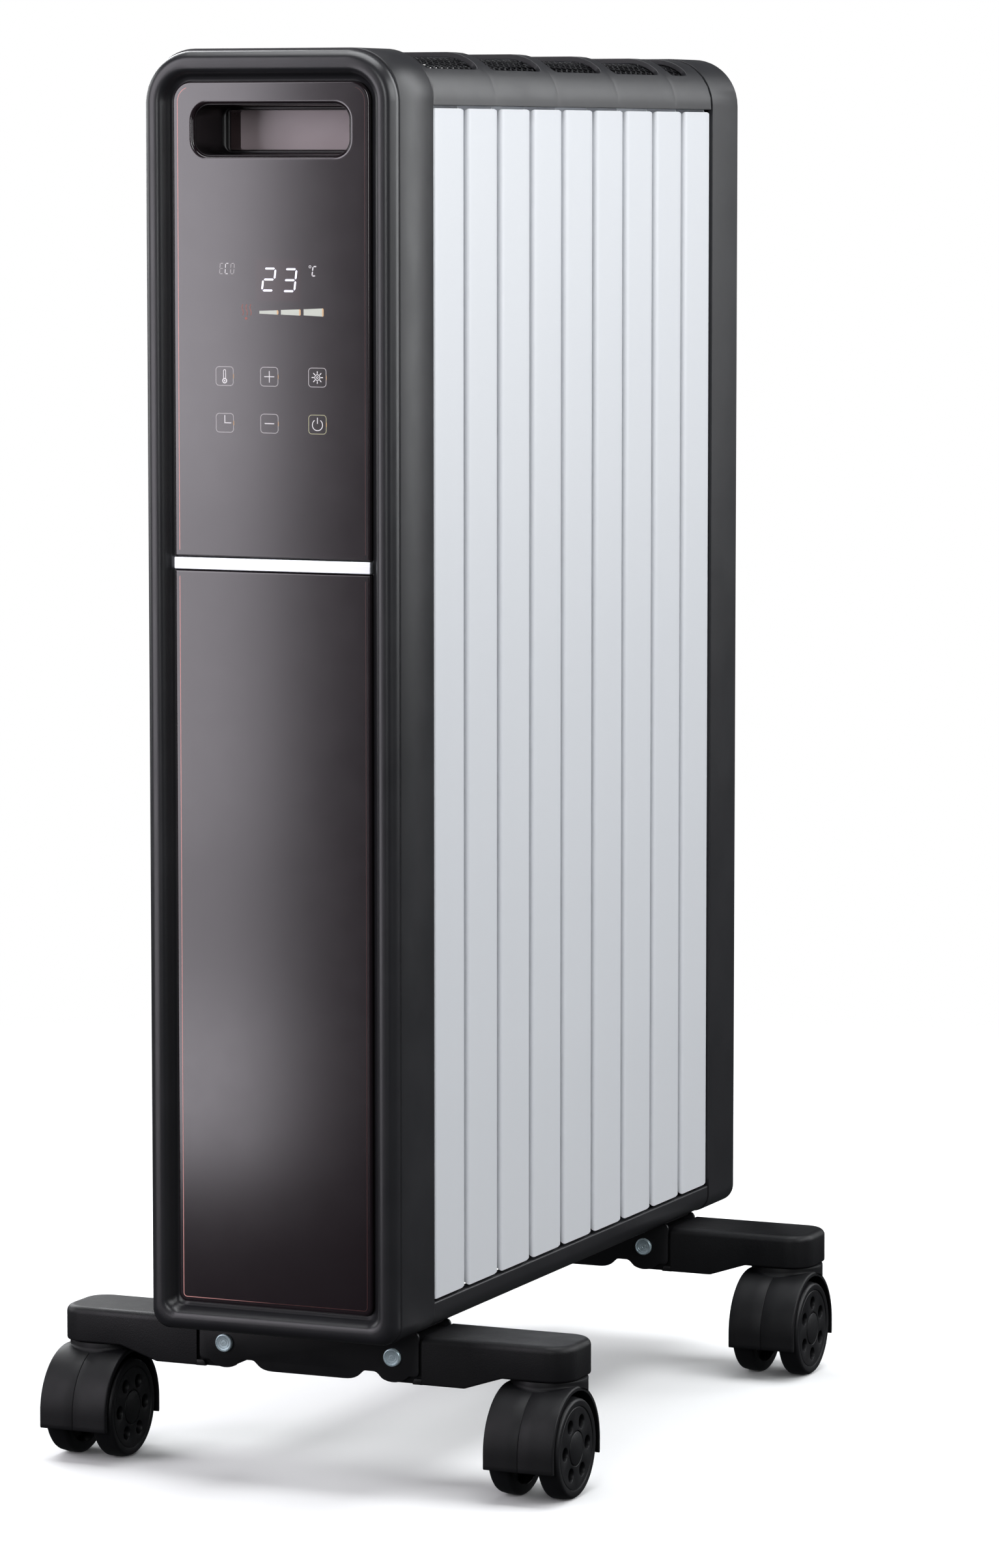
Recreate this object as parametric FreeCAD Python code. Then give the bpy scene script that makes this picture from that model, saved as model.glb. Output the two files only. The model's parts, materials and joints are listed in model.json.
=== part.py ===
"""Oil-filled column radiator on folding feet with twin-wheel casters.

Frame: millimetres, +Z up. The origin is on the floor under the middle of the heater, the control
front faces -Y, the fins stack along Y, and +X is to the right of somebody facing the controls.
Depths are measured backwards from the joint between the front bezel and the front housing, and
heights from the underside of the body. Each sub-part is written to parts/NAME.step.
"""
import FreeCAD, Part
import math
import os
from FreeCAD import Vector

# ---- driving dimensions, body ----
BODY_WIDTH = 120.0
BODY_HEIGHT = 561.0
BODY_LIFT = 70.0            # floor to the underside of the body
TOP_RADIUS = 22.7
BOTTOM_RADIUS = 8.5
HOUSING_DEPTH = 35.0
REAR_COVER_DEPTH = 34.7
FIN_COUNT = 9
FIN_PITCH = 36.4
FIN_FACE = 33.1             # depth of one flat side plate
FIN_START = 37.0            # depth of the first plate's front edge
FIN_FACE_INSET = 0.8
FIN_BOTTOM = 14.2
FIN_TOP = 535.4
SHEET = 0.8                 # pressed steel of the fins
BEND_RADIUS = 2.0
SEAM = 3.0                  # the side plate and the core meet this far in from the face
CHANNEL_DEPTH = 7.0
HEM = 5.5                   # width of the edge folded in at the front of each side plate
BEZEL_DEPTH = 6.8
PLASTIC_WALL = 2.4

# ---- driving dimensions, front panel ----
PANEL_HALF_WIDTH = 46.9
PANEL_BOTTOM = 12.3
PANEL_TOP = 546.8
PANEL_TOP_RADIUS = 8.6
PANEL_BOTTOM_RADIUS = 4.0
PANEL_FACE = -2.5           # depth of the panel's front face
PANEL_THICKNESS = 3.5
STRIP_BOTTOM = 336.0
STRIP_TOP = 341.4
HANDLE_HALF_WIDTH = 37.0
HANDLE_BOTTOM = 515.0
HANDLE_TOP = 537.2
HANDLE_RADIUS = 7.0
HANDLE_DEPTH = 31.0

# ---- driving dimensions, collectors and heating element ----
COLLECTOR_HEIGHTS = (58.0, 486.0)
COLLECTOR_RADIUS = 18.0
COLLECTOR_BORE = 15.0

# ---- driving dimensions, feet ----
FOOT_DEPTHS = {"front": 31.0, "rear": 324.3}   # depth of each bracket's front plate
FOOT_WIDTH = 36.0
PLATE = 1.5
PIVOT_X = 41.2
PIVOT_Z = -12.1
RIVET_RADIUS = 3.0
RIVET_HEAD_RADIUS = 4.1
RUNNING_CLEARANCE = 0.05
SIDE_CLEARANCE = 0.3
BRACKET_END_X = 53.8
ARM_BODY_X = 55.2           # where the arm widens to the full foot width
ARM_TOP = -1.8
ARM_DEEP = -23.5
ARM_SHALLOW = -17.6
ARM_END_X = 124.9
ARM_END_RADIUS = 11.5
STEM_X = 108.8

# ---- driving dimensions, casters (heights above the floor) ----
WHEEL_RADIUS = 22.5
WHEEL_INNER = 6.6
WHEEL_OUTER = 17.2
CASTER_TRAIL = 8.6          # the wheels sit this far in front of the stem
HOOD_RADIUS = 27.3
HOOD_WALL = 2.0
HOOD_HALF_WIDTH = 16.6
HOOD_SKIRT = 7.0
HOOD_WEB = 5.4
NECK_RADIUS = 17.2
STEM_RADIUS = 4.0
AXLE_RADIUS = 3.0

# ---- worked-out sizes ----
HALF_WIDTH = BODY_WIDTH / 2
FIN_END = FIN_START + (FIN_COUNT - 1) * FIN_PITCH + FIN_FACE
REAR_START = FIN_END + 1.2
BODY_DEPTH = REAR_START + REAR_COVER_DEPTH
FRONT_Y = -(BODY_DEPTH - BEZEL_DEPTH) / 2
FOOT_Y = {end: FRONT_Y + depth + FOOT_WIDTH / 2 for end, depth in FOOT_DEPTHS.items()}
SIDES = {"right": 1, "left": -1}
X_AXIS, Y_AXIS, Z_AXIS = Vector(1, 0, 0), Vector(0, 1, 0), Vector(0, 0, 1)


# ---- small helpers: y arguments are depths, z arguments are heights over the underside ----
def at(x, depth, height):
    """A point from body measures."""
    return Vector(x, FRONT_Y + depth, BODY_LIFT + height)


def box(x0, x1, d0, d1, h0, h1):
    return Part.makeBox(x1 - x0, d1 - d0, h1 - h0, at(x0, d0, h0))


def rod_y(radius, d0, d1, x, height):
    return Part.makeCylinder(radius, d1 - d0, at(x, d0, height), Y_AXIS)


def ring_y(outer, inner, d0, d1, x, height):
    return rod_y(outer, d0, d1, x, height).cut(rod_y(inner, d0 - 1, d1 + 1, x, height))


def rounded_outline(half_width, bottom, top, r_bottom, r_top, depth, x_mid=0.0):
    """A closed wire across the body: a rectangle with arcs at its corners."""
    left, right = x_mid - half_width, x_mid + half_width
    corners = [(left, bottom, r_bottom, 180), (right, bottom, r_bottom, 270),
               (right, top, r_top, 0), (left, top, r_top, 90)]
    ends = []
    for x, height, radius, start in corners:
        cx = x + radius if x < x_mid else x - radius
        cz = height + radius if height == bottom else height - radius
        points = []
        for turn in (0, 45, 90):
            angle = math.radians(start + turn)
            points.append(at(cx + radius * math.cos(angle), depth, cz + radius * math.sin(angle)))
        ends.append(points)
    edges = []
    for here, following in zip(ends, ends[1:] + ends[:1]):
        edges.append(Part.Arc(*here).toShape())
        edges.append(Part.LineSegment(here[2], following[0]).toShape())
    return Part.Wire(edges)


def slab(wire, thickness):
    return Part.Face(wire).extrude(Vector(0, thickness, 0))


def body_outline(inset, depth):
    """The body's section, drawn in all round by an inset."""
    return rounded_outline(HALF_WIDTH - inset, inset, BODY_HEIGHT - inset,
                           max(BOTTOM_RADIUS - inset, 1.0), TOP_RADIUS - inset, depth)


def body_shell(inset, wall, d0, d1):
    """A tube with the body's section."""
    outer = slab(body_outline(inset, d0), d1 - d0)
    return outer.cut(slab(body_outline(inset + wall, d0 - 1), d1 - d0 + 2))


def panel_outline(gap, depth):
    return rounded_outline(PANEL_HALF_WIDTH + gap, PANEL_BOTTOM - gap, PANEL_TOP + gap,
                           PANEL_BOTTOM_RADIUS + gap, PANEL_TOP_RADIUS + gap, depth)


def handle_outline(gap, depth):
    return rounded_outline(HANDLE_HALF_WIDTH + gap, HANDLE_BOTTOM - gap, HANDLE_TOP + gap,
                           HANDLE_RADIUS + gap, HANDLE_RADIUS + gap, depth)


def profile_xz(points, d0, d1):
    """A flat plate cut to a polygon of (x, height) points."""
    wire = Part.makePolygon([at(x, d0, h) for x, h in points + points[:1]])
    return slab(wire, d1 - d0)


def edges_at(shape, test):
    return [edge for edge in shape.Edges if test(edge.BoundBox)]


def front_edges(shape, depth, half_width, bottom, top):
    """The edges at one depth that lie inside a rectangle, to the nearest 0.1 mm."""
    low, high = BODY_LIFT + bottom - 0.1, BODY_LIFT + top + 0.1
    return edges_at(shape, lambda b: b.YMax < FRONT_Y + depth + 0.01 and b.ZMin > low
                    and b.ZMax < high and b.XMin > -half_width - 0.1 and b.XMax < half_width + 0.1)


def mirrored(shape):
    return shape.mirror(Vector(0, 0, 0), X_AXIS)


def save(name, *solids):
    """Writes one node; several solids stay separate solids."""
    shape = solids[0] if len(solids) == 1 else Part.makeCompound(list(solids))
    for solid in shape.Solids:
        if not solid.isValid() or solid.Volume <= 0:
            raise ValueError(name + " has a bad solid")
    shape.exportStep("parts/" + name + ".step")
    print(name, len(shape.Solids), "solids", round(shape.Volume / 1000, 2), "cm3")


# ---- front end ----
def front_bezel():
    """A rim with a rounded outer edge and a slope down to the panel."""
    inset, ridge, floor_gap, back_gap = 0.5, 6.4, 1.6, 0.35
    block = slab(rounded_outline(HALF_WIDTH - inset, 0, BODY_HEIGHT - 1, BOTTOM_RADIUS,
                                 TOP_RADIUS - inset, -BEZEL_DEPTH), BEZEL_DEPTH)
    block = block.makeFillet(5.4, edges_at(block, lambda b: b.YMax < FRONT_Y - BEZEL_DEPTH + 0.01))
    mouth = rounded_outline(HALF_WIDTH - ridge, ridge, BODY_HEIGHT - 1 - ridge,
                            BOTTOM_RADIUS, TOP_RADIUS - ridge, -BEZEL_DEPTH - 0.01)
    funnel = Part.makeLoft([mouth, panel_outline(floor_gap, -0.6)], True, True)
    rim = block.cut(funnel).cut(slab(panel_outline(back_gap, -1.5), 3))
    inner = front_edges(rim, -BEZEL_DEPTH, HALF_WIDTH - ridge, ridge, BODY_HEIGHT - 1 - ridge)
    return rim.makeFillet(1.6, inner)


def front_panels():
    """Two glossy panels with the metal strip between them, and the grip opening."""
    whole = slab(panel_outline(0, PANEL_FACE), PANEL_THICKNESS)
    rim = edges_at(whole, lambda b: b.YMax < FRONT_Y + PANEL_FACE + 0.01)
    whole = whole.makeChamfer(0.5, rim)
    wide = HALF_WIDTH
    upper = whole.common(box(-wide, wide, -5, 5, STRIP_TOP + 0.1, BODY_HEIGHT))
    upper = upper.cut(slab(handle_outline(0.1, -5), 10))
    lower = whole.common(box(-wide, wide, -5, 5, 0, STRIP_BOTTOM - 0.1))
    strip = box(-PANEL_HALF_WIDTH - 0.2, PANEL_HALF_WIDTH + 0.2, PANEL_FACE - 0.5, 1.0,
                STRIP_BOTTOM, STRIP_TOP)
    front = edges_at(strip, lambda b: b.YMax < FRONT_Y + PANEL_FACE - 0.49)
    return upper, lower, strip.makeFillet(0.3, front)


def handle_pocket():
    """A stepped cup behind the grip opening, with a rounded lip."""
    step_depth, step, wall, lip = 24.0, 2.5, 1.8, 1.0
    cup = slab(handle_outline(0, PANEL_FACE - 0.4), step_depth - PANEL_FACE + 0.4)
    cup = cup.fuse(slab(handle_outline(-step + wall, step_depth), HANDLE_DEPTH - step_depth))
    cup = cup.cut(slab(handle_outline(-lip, PANEL_FACE - 2), step_depth - PANEL_FACE))
    cup = cup.cut(slab(handle_outline(-step, step_depth - 4), HANDLE_DEPTH - step_depth + 8))
    mouth = front_edges(cup, PANEL_FACE - 0.4, HANDLE_HALF_WIDTH - lip, HANDLE_BOTTOM + lip,
                        HANDLE_TOP - lip)
    return cup.makeFillet(0.8, mouth)


def handle_back():
    return slab(handle_outline(-0.8, HANDLE_DEPTH + 0.1), 1.5)


def front_housing():
    """The plastic case around the controls: a tube with a seat for the panels and a back flange."""
    shell = body_shell(0, PLASTIC_WALL, 0, HOUSING_DEPTH)
    back_flange = body_shell(PLASTIC_WALL, 5.0, HOUSING_DEPTH - 2.0, HOUSING_DEPTH)
    panel_seat = body_shell(PLASTIC_WALL, 12.3, PANEL_FACE + PANEL_THICKNESS + 0.1, 3.1)
    hole = Part.makeCylinder(GLAND["radius"] + 0.05, 10,
                             at(-HALF_WIDTH - 2, GLAND["depth"], GLAND["height"]), X_AXIS)
    return shell.fuse([back_flange, panel_seat]).removeSplitter().cut(hole)


GLAND = {"radius": 6.0, "bore": 3.7, "depth": 18.0, "height": 42.0, "reach": 7.0}


def cord_gland():
    """The bush that the mains lead leaves through, low on the left of the housing."""
    start = at(-HALF_WIDTH - GLAND["reach"], GLAND["depth"], GLAND["height"])
    length = GLAND["reach"] + PLASTIC_WALL + 5
    body = Part.makeCylinder(GLAND["radius"], length, start, X_AXIS)
    collar = Part.makeCylinder(GLAND["radius"] + 2.5, 2.5,
                               at(-HALF_WIDTH - 2.6, GLAND["depth"], GLAND["height"]), X_AXIS)
    nut = Part.makeCylinder(GLAND["radius"] + 2.5, 4.0,
                            at(-HALF_WIDTH + PLASTIC_WALL + 0.1, GLAND["depth"],
                               GLAND["height"]), X_AXIS)
    bore = Part.makeCylinder(GLAND["bore"], length + 2, start - Vector(1, 0, 0), X_AXIS)
    return body.fuse([collar, nut]).removeSplitter().cut(bore)


def heat_shield():
    """A steel plate between the controls and the first fin."""
    plate = slab(body_outline(6.0, HOUSING_DEPTH + 0.1), 0.9)
    return plate.cut(rod_y(COLLECTOR_RADIUS + 0.5, 30, 40, 0, COLLECTOR_HEIGHTS[0]))


# ---- controls behind the panel ----
BOARD_DEPTH = 6.0
BUTTON_X = (-22.4, -1.0, 21.9)
BUTTON_HEIGHTS = (420.2, 400.0)


POWER_BOARD_DEPTH = 20.0
CARRIER_DEPTH = 24.0
DISPLAY_HOLES = [(x, height) for x in (-34, 34) for height in (389, 481)]
POWER_HOLES = [(x, height) for x in (-35, 35) for height in (156, 284)]


def display_board():
    board = box(-38, 38, BOARD_DEPTH, BOARD_DEPTH + 1.6, 385, 485)
    for x, height in DISPLAY_HOLES:
        board = board.cut(rod_y(1.6, 0, 20, x, height))
    return board


def board_carrier():
    """A plastic plate across the housing with posts for both boards."""
    plate = box(-HALF_WIDTH + PLASTIC_WALL + 0.1, HALF_WIDTH - PLASTIC_WALL - 0.1,
                CARRIER_DEPTH, CARRIER_DEPTH + 2, 86, 500)
    posts = [rod_y(3.5, BOARD_DEPTH + 1.65, CARRIER_DEPTH + 1, x, h) for x, h in DISPLAY_HOLES]
    posts += [rod_y(3.5, POWER_BOARD_DEPTH + 1.65, CARRIER_DEPTH + 1, x, h) for x, h in POWER_HOLES]
    return plate.fuse(posts).removeSplitter()


def display_module():
    """The digit block and the light guide of the level bars, in front of the board."""
    digits = box(-7, 15, 2.2, BOARD_DEPTH - 0.1, 454, 470)
    bars = box(-7, 27, 2.2, BOARD_DEPTH - 0.1, 444, 451.5)
    word = box(-26, -16.5, 2.2, BOARD_DEPTH - 0.1, 462, 471)
    return digits, bars, word


def touch_springs():
    """Six conductive springs that press on the back of the panel, as closed tubes."""
    pads = []
    for x in BUTTON_X:
        for height in BUTTON_HEIGHTS:
            pads.append(ring_y(3.6, 2.8, 1.2, BOARD_DEPTH - 0.1, x, height))
    return pads


def power_board():
    board = box(-40, 40, POWER_BOARD_DEPTH, POWER_BOARD_DEPTH + 1.6, 150, 290)
    for x, height in POWER_HOLES:
        board = board.cut(rod_y(1.8, 15, 25, x, height))
    return board


def power_components():
    """Two relays, the small transformer, a capacitor and the terminal block."""
    relays = [box(x, x + 22, 6, 19.9, 250, 274) for x in (-34, 8)]
    transformer = box(-30, 2, 3, 19.9, 205, 237)
    capacitor = rod_y(7.0, 5, 19.9, 22, 222)
    terminals = box(-32, 32, 8, 19.9, 160, 176)
    for x in range(-24, 25, 16):
        terminals = terminals.cut(rod_y(2.6, 4, 15, x, 168))
    return relays + [transformer, capacitor, terminals]


def tip_over_switch():
    """A sealed tilt switch on the front of the carrier, with two tabs for its wires."""
    case = box(-14, 14, 8, CARRIER_DEPTH - 0.05, 100, 124)
    tabs = [box(x, x + 1.0, 12, 20, 124.05, 132) for x in (-9, 8)]
    return [case] + tabs


def thermal_cutoffs():
    """Two bimetal cut-outs held against the hot shield."""
    return [rod_y(8.0, CARRIER_DEPTH + 2.05, HOUSING_DEPTH + 0.05, x, 108) for x in (-32, 32)]


def temperature_sensor():
    """The room sensor, hanging below the carrier where cool air comes in."""
    depth = CARRIER_DEPTH - 1.3
    bead = Part.makeSphere(2.5, at(46, depth, 30))
    stem = Part.makeCylinder(1.2, 79, at(46, depth, 31), Z_AXIS)
    return bead.fuse(stem).removeSplitter()


# ---- radiator ----
def fin_front(index):
    return FIN_START + index * FIN_PITCH


def side_plate(d0):
    """One side of a fin: a flat face, bent in at the front as a hem and at the back to the core."""
    outer = HALF_WIDTH - FIN_FACE_INSET
    d1 = d0 + FIN_FACE

    def bent(x_in, x_out, front, back, radius, bottom, top):
        block = box(x_in, x_out, front, back, bottom, top)
        x_edge = x_out - 0.01
        return block.makeFillet(radius, edges_at(block, lambda b: b.XMin > x_edge and b.ZLength > 100
                                                 and b.YLength < 0.01))

    plate = bent(outer - HEM, outer, d0, d1, BEND_RADIUS, FIN_BOTTOM, FIN_TOP)
    plate = plate.cut(bent(outer - HEM - 1, outer - SHEET, d0 + SHEET, d1 - SHEET,
                           BEND_RADIUS - SHEET, FIN_BOTTOM - 1, FIN_TOP + 1))
    return plate.cut(box(outer - HEM - 1, outer - SEAM, d1 - SHEET - 0.5, d1 + 1,
                         FIN_BOTTOM - 1, FIN_TOP + 1))


def fin_core(d0):
    """The oil core of one fin: a sheet with three hollow channels joined at the collectors."""
    half = HALF_WIDTH - FIN_FACE_INSET - SEAM - 0.05
    back = d0 + FIN_FACE
    depth, skin = CHANNEL_DEPTH, 0.7
    sheet = box(-half, half, back - SHEET, back, FIN_BOTTOM, FIN_TOP)
    low, high = COLLECTOR_HEIGHTS

    def channels(shrink):
        face = back - SHEET
        bars = [box(x - 10 + shrink, x + 10 - shrink, face - depth + shrink, face,
                    low - 24 + shrink, high + 24 - shrink) for x in (-32, 0, 32)]
        for height in COLLECTOR_HEIGHTS:
            bars.append(box(-42 + shrink, 42 - shrink, face - depth + shrink, face,
                            height - 24 + shrink, height + 24 - shrink))
        return bars[0].fuse(bars[1:]).removeSplitter()

    core = sheet.fuse(channels(0)).removeSplitter().cut(channels(skin))
    for height in COLLECTOR_HEIGHTS:
        core = core.cut(rod_y(COLLECTOR_BORE, back - 20, back + 5, 0, height))
    return core


def fin(index):
    """Side plates, core and the two collector rings that reach to the fin in front."""
    d0 = fin_front(index)
    plate = side_plate(d0)
    core_front = d0 + FIN_FACE - SHEET - CHANNEL_DEPTH
    low_start = high_start = d0 + FIN_FACE - FIN_PITCH + 0.05
    if index == 0:
        low_start, high_start = HOUSING_DEPTH - 3.0, d0 + 1.0
    rings = [ring_y(COLLECTOR_RADIUS, COLLECTOR_BORE, start, core_front - 0.05, 0, height)
             for start, height in zip((low_start, high_start), COLLECTOR_HEIGHTS)]
    return [fin_core(d0), plate, mirrored(plate)] + rings


def collector_plugs():
    """Steel plugs that close the collectors: two behind the last fin, one on top at the front."""
    end = FIN_END
    plugs = []
    for height in COLLECTOR_HEIGHTS:
        plugs.append(rod_y(COLLECTOR_RADIUS, end, end + 3, 0, height)
                     .fuse(rod_y(COLLECTOR_BORE - 0.1, end - 5, end, 0, height)).removeSplitter())
    front = fin_front(0) + 0.2
    plugs.append(rod_y(COLLECTOR_BORE - 0.1, front + 1, front + 5, 0, COLLECTOR_HEIGHTS[1]))
    return plugs


def heating_element():
    """Two sheathed U elements on one threaded head, in the lower collector."""
    height = COLLECTOR_HEIGHTS[0]
    head = rod_y(COLLECTOR_BORE - 0.1, HOUSING_DEPTH - 3, HOUSING_DEPTH + 8, 0, height)
    head = head.fuse(rod_y(COLLECTOR_RADIUS - 0.5, HOUSING_DEPTH - 7.5, HOUSING_DEPTH - 3.05,
                           0, height))
    solids = [head.removeSplitter()]
    end = FIN_END - 30
    start = HOUSING_DEPTH + 8.05
    bend = 5.0
    for z in (-7.0, 7.0):
        tubes = [rod_y(3.2, start, end, x, height + z) for x in (-bend, bend)]
        turn = Part.makeTorus(bend, 3.2, at(0, end, height + z), Z_AXIS)
        turn = turn.common(box(-20, 20, end, end + 20, height + z - 5, height + z + 5))
        solids.append(tubes[0].fuse([turn, tubes[1]]).removeSplitter())
    for x in (-9.0, -3.0, 3.0, 9.0):
        solids.append(rod_y(1.6, HOUSING_DEPTH - 17, HOUSING_DEPTH - 7.6, x, height))
    return solids


# ---- covers ----
COVER_INSET = 0.5
COVER_WALL = 2.4
VENT_START = 38.0
VENT_PITCH = 70.8
VENT_LENGTH = 60.0
VENT_COUNT = 5
VENT_EDGE_HEIGHT = 552.7
VENT_RADIUS = 5.0
COVER_LOWER_EDGE = 536.6


def vent_spans():
    """Front and back depth of each vent; the last is cut short by the rear cover."""
    spans = []
    for n in range(VENT_COUNT):
        d0 = VENT_START + n * VENT_PITCH
        spans.append((d0, min(d0 + VENT_LENGTH, 346.0)))
    return spans


def top_cover():
    """An arched cover with five wide vents that reach down over both shoulders."""
    shell = body_shell(COVER_INSET, COVER_WALL, HOUSING_DEPTH + 0.3, REAR_START - 0.3)
    cover = shell.common(box(-HALF_WIDTH, HALF_WIDTH, 0, BODY_DEPTH, COVER_LOWER_EDGE, BODY_HEIGHT))
    drop = BODY_HEIGHT - COVER_INSET - VENT_EDGE_HEIGHT
    radius = TOP_RADIUS - COVER_INSET
    reach = HALF_WIDTH - TOP_RADIUS + math.sqrt(radius ** 2 - (radius - drop) ** 2)
    for d0, d1 in vent_spans():
        cutter = box(-reach - 6, reach + 6, d0, d1, VENT_EDGE_HEIGHT, BODY_HEIGHT + 5)
        upright = edges_at(cutter, lambda b: b.XLength < 0.1 and b.YLength < 0.1)
        cover = cover.cut(cutter.makeFillet(0.5, upright))
    return cover


def vent_mesh():
    """A pierced steel guard under each vent, with long cells in rows across the arch."""
    inset = COVER_INSET + COVER_WALL + 0.3
    thickness, bar, row, web = 0.9, 1.6, 6.4, 1.5
    radius = TOP_RADIUS - inset
    flat = HALF_WIDTH - TOP_RADIUS
    rows = int(2 * flat // (row + web))
    pitch = 2 * flat / rows
    step = math.degrees((row + web) / radius)
    guards = []
    for d0, d1 in vent_spans():
        d0, d1 = d0 - 1.2, d1 + 1.2
        sheet = body_shell(inset, thickness, d0, d1)
        sheet = sheet.common(box(-HALF_WIDTH, HALF_WIDTH, d0 - 1, d1 + 1, VENT_EDGE_HEIGHT - 6,
                                 BODY_HEIGHT))
        cells = max(int((d1 - d0) // 20), 1)
        cell = (d1 - d0 - bar) / cells - bar
        starts = [d0 + bar + n * (cell + bar) for n in range(cells)]
        holes = []
        for n in range(rows):
            x = -flat + (n + 0.5) * pitch
            holes += [box(x - row / 2, x + row / 2, s, s + cell, BODY_HEIGHT - 8, BODY_HEIGHT)
                      for s in starts]
        for side in (1, -1):
            for s in starts:
                hole = box(-row / 2, row / 2, s, s + cell, radius - 3, radius + 3)
                hole.translate(Vector(0, 0, -BODY_LIFT))
                hole.rotate(Vector(0, 0, 0), Y_AXIS, side * step * 0.75)
                hole.translate(Vector(side * flat, 0, BODY_LIFT + BODY_HEIGHT - TOP_RADIUS))
                holes.append(hole)
        guards.append(sheet.cut(Part.makeCompound(holes)))
    return guards


SCREW_PLACES = [(x, height) for x in (-40.0, 40.0) for height in (60.0, 500.0)]
SCREW_SINK = 4.0            # how far the screw heads sit below the rear face


def rear_cover():
    """A cup that closes the back, with a rounded rear edge and four sunk screw seats."""
    outer = slab(body_outline(0, REAR_START), REAR_COVER_DEPTH)
    rear = edges_at(outer, lambda b: b.YMin > FRONT_Y + BODY_DEPTH - 0.01)
    outer = outer.makeFillet(2.5, rear)
    cup = outer.cut(slab(body_outline(PLASTIC_WALL, REAR_START - 1),
                         REAR_COVER_DEPTH + 1 - PLASTIC_WALL))
    for x, height in SCREW_PLACES:
        cup = cup.fuse(rod_y(6.5, BODY_DEPTH - 9, BODY_DEPTH - 1, x, height))
        cup = cup.cut(rod_y(4.4, BODY_DEPTH - SCREW_SINK, BODY_DEPTH + 1, x, height))
        cup = cup.cut(rod_y(2.1, BODY_DEPTH - 12, BODY_DEPTH, x, height))
    return cup


def cover_screws():
    """Four cross-head screws sunk in the back of the rear cover."""
    screws = []
    seat = BODY_DEPTH - SCREW_SINK + 0.02
    for x, height in SCREW_PLACES:
        head = rod_y(3.8, seat, seat + 2.4, x, height)
        head = head.makeFillet(1.2, edges_at(head, lambda b: b.YMin > FRONT_Y + seat + 2.3))
        shank = rod_y(1.9, BODY_DEPTH - 20, seat, x, height)
        screw = head.fuse(shank).removeSplitter()
        for dx, dz in ((2.2, 0.4), (0.4, 2.2)):
            screw = screw.cut(box(x - dx, x + dx, seat + 1.2, seat + 4, height - dz, height + dz))
        screws.append(screw)
    return screws


def side_rail():
    """The right-hand rail under the fins: it turns in under the body."""
    rail_top, inner_x = 13.0, 32.0
    shell = body_shell(COVER_INSET, COVER_WALL, HOUSING_DEPTH + 0.3, REAR_START - 0.3)
    rail = shell.common(box(inner_x, HALF_WIDTH, 0, BODY_DEPTH, 0, rail_top))
    top = edges_at(rail, lambda b: b.ZMin > BODY_LIFT + rail_top - 0.01 and b.YLength > 100
                   and b.XMin > HALF_WIDTH - COVER_INSET - 0.1)
    return rail.makeFillet(0.8, top)


# ---- feet ----
def ring_outline_points(radius, start, stop, count=9):
    """Points on an arc round the pivot, in (x, height)."""
    points = []
    for n in range(count):
        angle = math.radians(start + (stop - start) * n / (count - 1))
        points.append((PIVOT_X + radius * math.cos(angle), PIVOT_Z + radius * math.sin(angle)))
    return points


LOBE_RADIUS = 11.3
BRACKET_TOP = -0.1
NOTCH_HEIGHT = -19.2
CENTRE_LOBE = (22.5, -23.5)


def bracket_plate(d0, end_z=-20.2):
    """One side plate of a foot bracket, with a round lobe under each pivot and a notch inside it."""
    right = [(0.0, CENTRE_LOBE[1]), (CENTRE_LOBE[0], CENTRE_LOBE[1]), (25.6, -21.8),
             (27.0, NOTCH_HEIGHT), (33.0, NOTCH_HEIGHT)]
    right += ring_outline_points(LOBE_RADIUS, -118, -46)
    corner = 3.0
    right.append((BRACKET_END_X - corner, end_z))
    right += [(BRACKET_END_X - corner * 0.3, end_z + corner * 0.3), (BRACKET_END_X, end_z + corner)]
    right += [(BRACKET_END_X, -3.0), (BRACKET_END_X - 3.0, BRACKET_TOP), (0.0, BRACKET_TOP)]
    half = profile_xz(right, d0, d0 + PLATE)
    plate = half.fuse(mirrored(half)).removeSplitter()
    for x in (-PIVOT_X, PIVOT_X):
        plate = plate.cut(rod_y(RIVET_RADIUS + 0.02, d0 - 1, d0 + PLATE + 1, x, PIVOT_Z))
    return plate


def foot_bracket(end):
    """A steel channel under the body: two plates and the web that joins them."""
    d0 = FOOT_DEPTHS[end]
    web = box(-BRACKET_END_X + 3, BRACKET_END_X - 3, d0 + PLATE, d0 + FOOT_WIDTH - PLATE,
              BRACKET_TOP - PLATE, BRACKET_TOP)
    for x in (-BOLT_X, BOLT_X):
        web = web.cut(Part.makeCylinder(3.3, 10, at(x, d0 + FOOT_WIDTH / 2, -6), Z_AXIS))
    return bracket_plate(d0).fuse([bracket_plate(d0 + FOOT_WIDTH - PLATE), web]).removeSplitter()


BOLT_X = 21.4


def foot_u_bolts():
    """A U bolt over the lower collector holds each bracket."""
    bolts = []
    radius = 3.0
    height = COLLECTOR_HEIGHTS[0]
    for end in FOOT_DEPTHS:
        depth = bolt_depth(end)
        legs = [Part.makeCylinder(radius, height + 17, at(x, depth, -17), Z_AXIS)
                for x in (-BOLT_X, BOLT_X)]
        bow = Part.makeTorus(BOLT_X, radius, at(0, depth, height), Y_AXIS)
        bow = bow.common(box(-40, 40, depth - 5, depth + 5, height, height + 40))
        bolts.append(legs[0].fuse([bow, legs[1]]).removeSplitter())
    return bolts


def bolt_depth(end):
    return FOOT_DEPTHS[end] + FOOT_WIDTH / 2


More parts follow.
